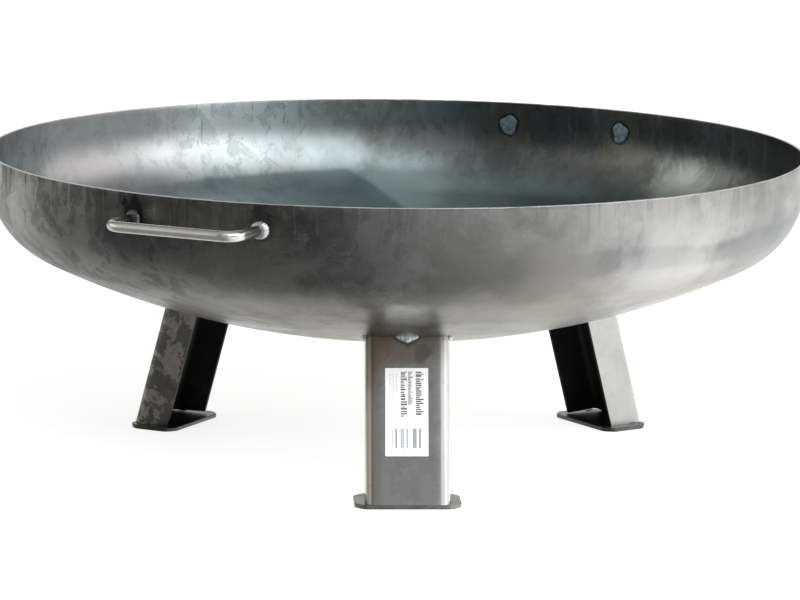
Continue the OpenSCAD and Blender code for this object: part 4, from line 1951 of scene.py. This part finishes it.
def main() -> None:
    """Builds every sub-assembly in order."""
    logging.basicConfig(level=logging.INFO, format="%(message)s")
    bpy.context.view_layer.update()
    dish, shape, bar = DishShape.from_frame(), LegShape(), BarShape()
    headings = {"leg_front_left": -150.0, "leg_front_right": -30.0, "leg_rear": 90.0}
    handle_headings = {"handle_left": 180.0, "handle_right": 0.0}
    outer_ends = [p for h in handle_headings.values() for p in handle_ends(dish, bar, h, dish.sheet)]
    inner_ends = [p for h in handle_headings.values() for p in handle_ends(dish, bar, h, 0.0)]
    tops = {name: leg_top(shape, dish, heading) for name, heading in headings.items()}

    edge = CutEdge("cut_edge")
    weld = WeldMetal("weld_bead")
    dull_weld = WeldMetal("weld_dull", light=(0.30, 0.30, 0.29), tint=(0.16, 0.16, 0.16), rough=0.34)
    outer_marks = (
        # Painted shadow and reflection: this mark and the next two darken the wall round the left handle.
        Mark(-38.0, 0.275, 0.070, 0.60, (0.05, 0.055, 0.055)),
        Mark(-27.0, 0.278, 0.070, 0.55, (0.06, 0.065, 0.062)),
        Mark(-17.0, 0.272, 0.050, 0.35, (0.08, 0.08, 0.075)),
        # Painted reflection: a dark patch low on the front of the wall.
        Mark(12.0, 0.235, 0.095, 0.60, (0.14, 0.14, 0.13)),
        Mark(20.0, 0.250, 0.060, 0.35, (0.22, 0.22, 0.21)),
        Mark(-20.0, 0.215, 0.110, 0.45, (0.40, 0.41, 0.38)),
        # Painted reflection: pale beige low on the front, where the bright floor would be mirrored.
        Mark(-14.0, 0.192, 0.100, 0.30, (0.50, 0.46, 0.38)),
        # Painted reflection: warm pale patch low on the right, where the bright floor would be mirrored.
        Mark(24.0, 0.208, 0.085, 0.40, (0.52, 0.47, 0.40)),
        # Painted reflection: a dark patch on the underside above the front leg, where the leg would be
        # mirrored.
        Mark(3.0, 0.164, 0.060, 0.65, (0.14, 0.135, 0.12)),
        # Painted reflection: pale patch low on the front, where the bright floor would be mirrored.
        Mark(11.0, 0.200, 0.050, 0.35, (0.62, 0.61, 0.58)),
        # Painted highlight: this mark and the next are pale patches on the right, where the bright softbox
        # would be mirrored.
        Mark(52.0, 0.200, 0.090, 0.35, (0.55, 0.53, 0.50)),
        Mark(40.0, 0.222, 0.080, 0.55, (0.80, 0.79, 0.77)),
        Mark(60.0, 0.240, 0.060, 0.45, (0.25, 0.26, 0.27)),
        Mark(72.0, 0.245, 0.050, 0.45, (0.25, 0.26, 0.27)),
    )
    inner_marks = (
        # Painted reflection: a pale greenish patch on the darker side, where a weak light would be
        # mirrored.
        Mark(128.0, 0.212, 0.065, 0.85, (0.80, 0.88, 0.82)),
        Mark(124.0, 0.200, 0.022, 0.80, (0.05, 0.06, 0.06)),
        Mark(143.0, 0.236, 0.050, 0.40, (0.14, 0.13, 0.10)),
        # Painted highlight: this mark and the next are pinkish patches on the paler side.
        Mark(-130.0, 0.262, 0.160, 0.40, (0.62, 0.58, 0.59)),
        Mark(-122.0, 0.235, 0.070, 0.30, (0.62, 0.56, 0.55)),
        # Painted highlight: this mark and the next two are pale bluish patches that carry the softbox's
        # highlight on.
        Mark(-169.0, 0.238, 0.050, 0.45, (0.78, 0.90, 0.94)),
        Mark(178.0, 0.206, 0.060, 0.65, (0.66, 0.80, 0.82)),
        Mark(165.0, 0.198, 0.050, 0.45, (0.50, 0.62, 0.62)),
    )
    Bowl(
        dish,
        outside=DishOutside("dish_outside", dish=dish, grow=dish.sheet, rim_z=dish.rim_z, marks=outer_marks,
                            # The first sooting spot, at the left handle's rear end, is the strongest:
                            # mostly painted shadow and reflection of the handle.
                            handle_soot_and_shadow=tuple(zip(outer_ends, (0.90, 0.35, 0.60, 0.60)))),
        inside=DishInside("dish_inside", light=(0.43, 0.475, 0.49), seed=2.0, dish=dish, rim_z=dish.rim_z,
                          marks=inner_marks, weld_backs=tuple(inner_ends), leg_marks=tuple(tops.values())),
        edge=edge,
    ).build()
    bar_finish = DrawnBar("drawn_bar", ends=tuple(outer_ends))
    # Dark bead for the handles' rear welds: sooty, and painted shade where the bar's end stands in shadow.
    sooty_shaded_weld = WeldMetal("weld_sooty_shaded", light=(0.20, 0.20, 0.20), tint=(0.02, 0.02, 0.022), rough=0.36)
    weld_back = WeldMetal("weld_back", light=(0.34, 0.44, 0.49), tint=(0.08, 0.14, 0.18), rough=0.40)
    for name, heading in handle_headings.items():
        front_side = -1 if heading == 0.0 else 1
        nodes = {front_side: f"{name}_weld_front", -front_side: f"{name}_weld_rear"}
        beads = {front_side: weld, -front_side: sooty_shaded_weld}
        Handle(name, heading, dish, bar, bar_finish, beads, weld_back, nodes).build()
    # Painted shade: near-black for the channels' insides and cut edges, where the shadow falls.
    black = ChannelShade("channel_painted_shade")
    plates = {
        "leg_front_left": RolledSheet(
            "plate_bare", light=(0.40, 0.40, 0.385), dark=(0.26, 0.26, 0.25), seed=7.0),
        "leg_front_right": RolledSheet(
            "plate_dull", light=(0.30, 0.30, 0.29), dark=(0.16, 0.16, 0.155), seed=8.0),
        "leg_rear": RolledSheet(
            "plate_dark", light=(0.13, 0.13, 0.125), dark=(0.06, 0.06, 0.058), seed=9.0),
    }
    gaps = {
        "leg_front_left": (0, 0.0, 0.0),
        "leg_front_right": (1, 3.4 * MM, 0.9 * MM),
        "leg_rear": (-1, 1.2 * MM, 2.8 * MM),
    }
    leg_scales_and_painted_light = {
        "leg_front_left": {"light": (0.39, 0.39, 0.38), "dark": (0.31, 0.31, 0.30), "flaked": 0.15},
        # Painted light: the right-hand front leg's scale and stains are near white, standing for the key
        # light falling on its flange; its fold sheen and heat tint are turned down.
        "leg_front_right": {"light": (0.84, 0.84, 0.83), "dark": (0.62, 0.62, 0.61), "flaked": 0.08,
                            "stain": (0.5, 0.5, 0.5), "fold_sheen_share": 0.2, "tinted": 0.0},
        "leg_rear": {"light": (0.20, 0.20, 0.19), "dark": (0.15, 0.15, 0.145), "flaked": 0.95, "fold_sheen_share": 0.0,
                     "flake_level": 0.56, "tinted": 0.0},
    }
    for number, (name, heading) in enumerate(headings.items()):
        a = math.radians(heading)
        outside = ChannelOutside(f"channel_outside_{number + 1}", seed=3.0 + number, top=tops[name],
                                 across=(-math.sin(a), math.cos(a), 0.0), **leg_scales_and_painted_light[name])
        side, at_fold, at_end = gaps[name]
        leg = Leg(name, heading, dish, shape, outside, black, black, plates[name], weld, dull_weld,
                  seed=20 + number, gap_side=side, gap_at_fold=at_fold, gap_at_end=at_end)
        leg.build()
    inks = (
        Ink("ink_black", (0.02, 0.02, 0.02)),
        Ink("ink_dark", (0.16, 0.16, 0.17)),
        Ink("ink_grey", (0.30, 0.31, 0.35)),
        Ink("ink_pale", (0.50, 0.51, 0.54)),
        Ink("ink_soft", (0.07, 0.07, 0.075)),
    )
    Label(shape, headings["leg_front_left"], LabelPaper("label_paper"), inks).build()
    Studio().build()


if __name__ == "__main__":
    main()
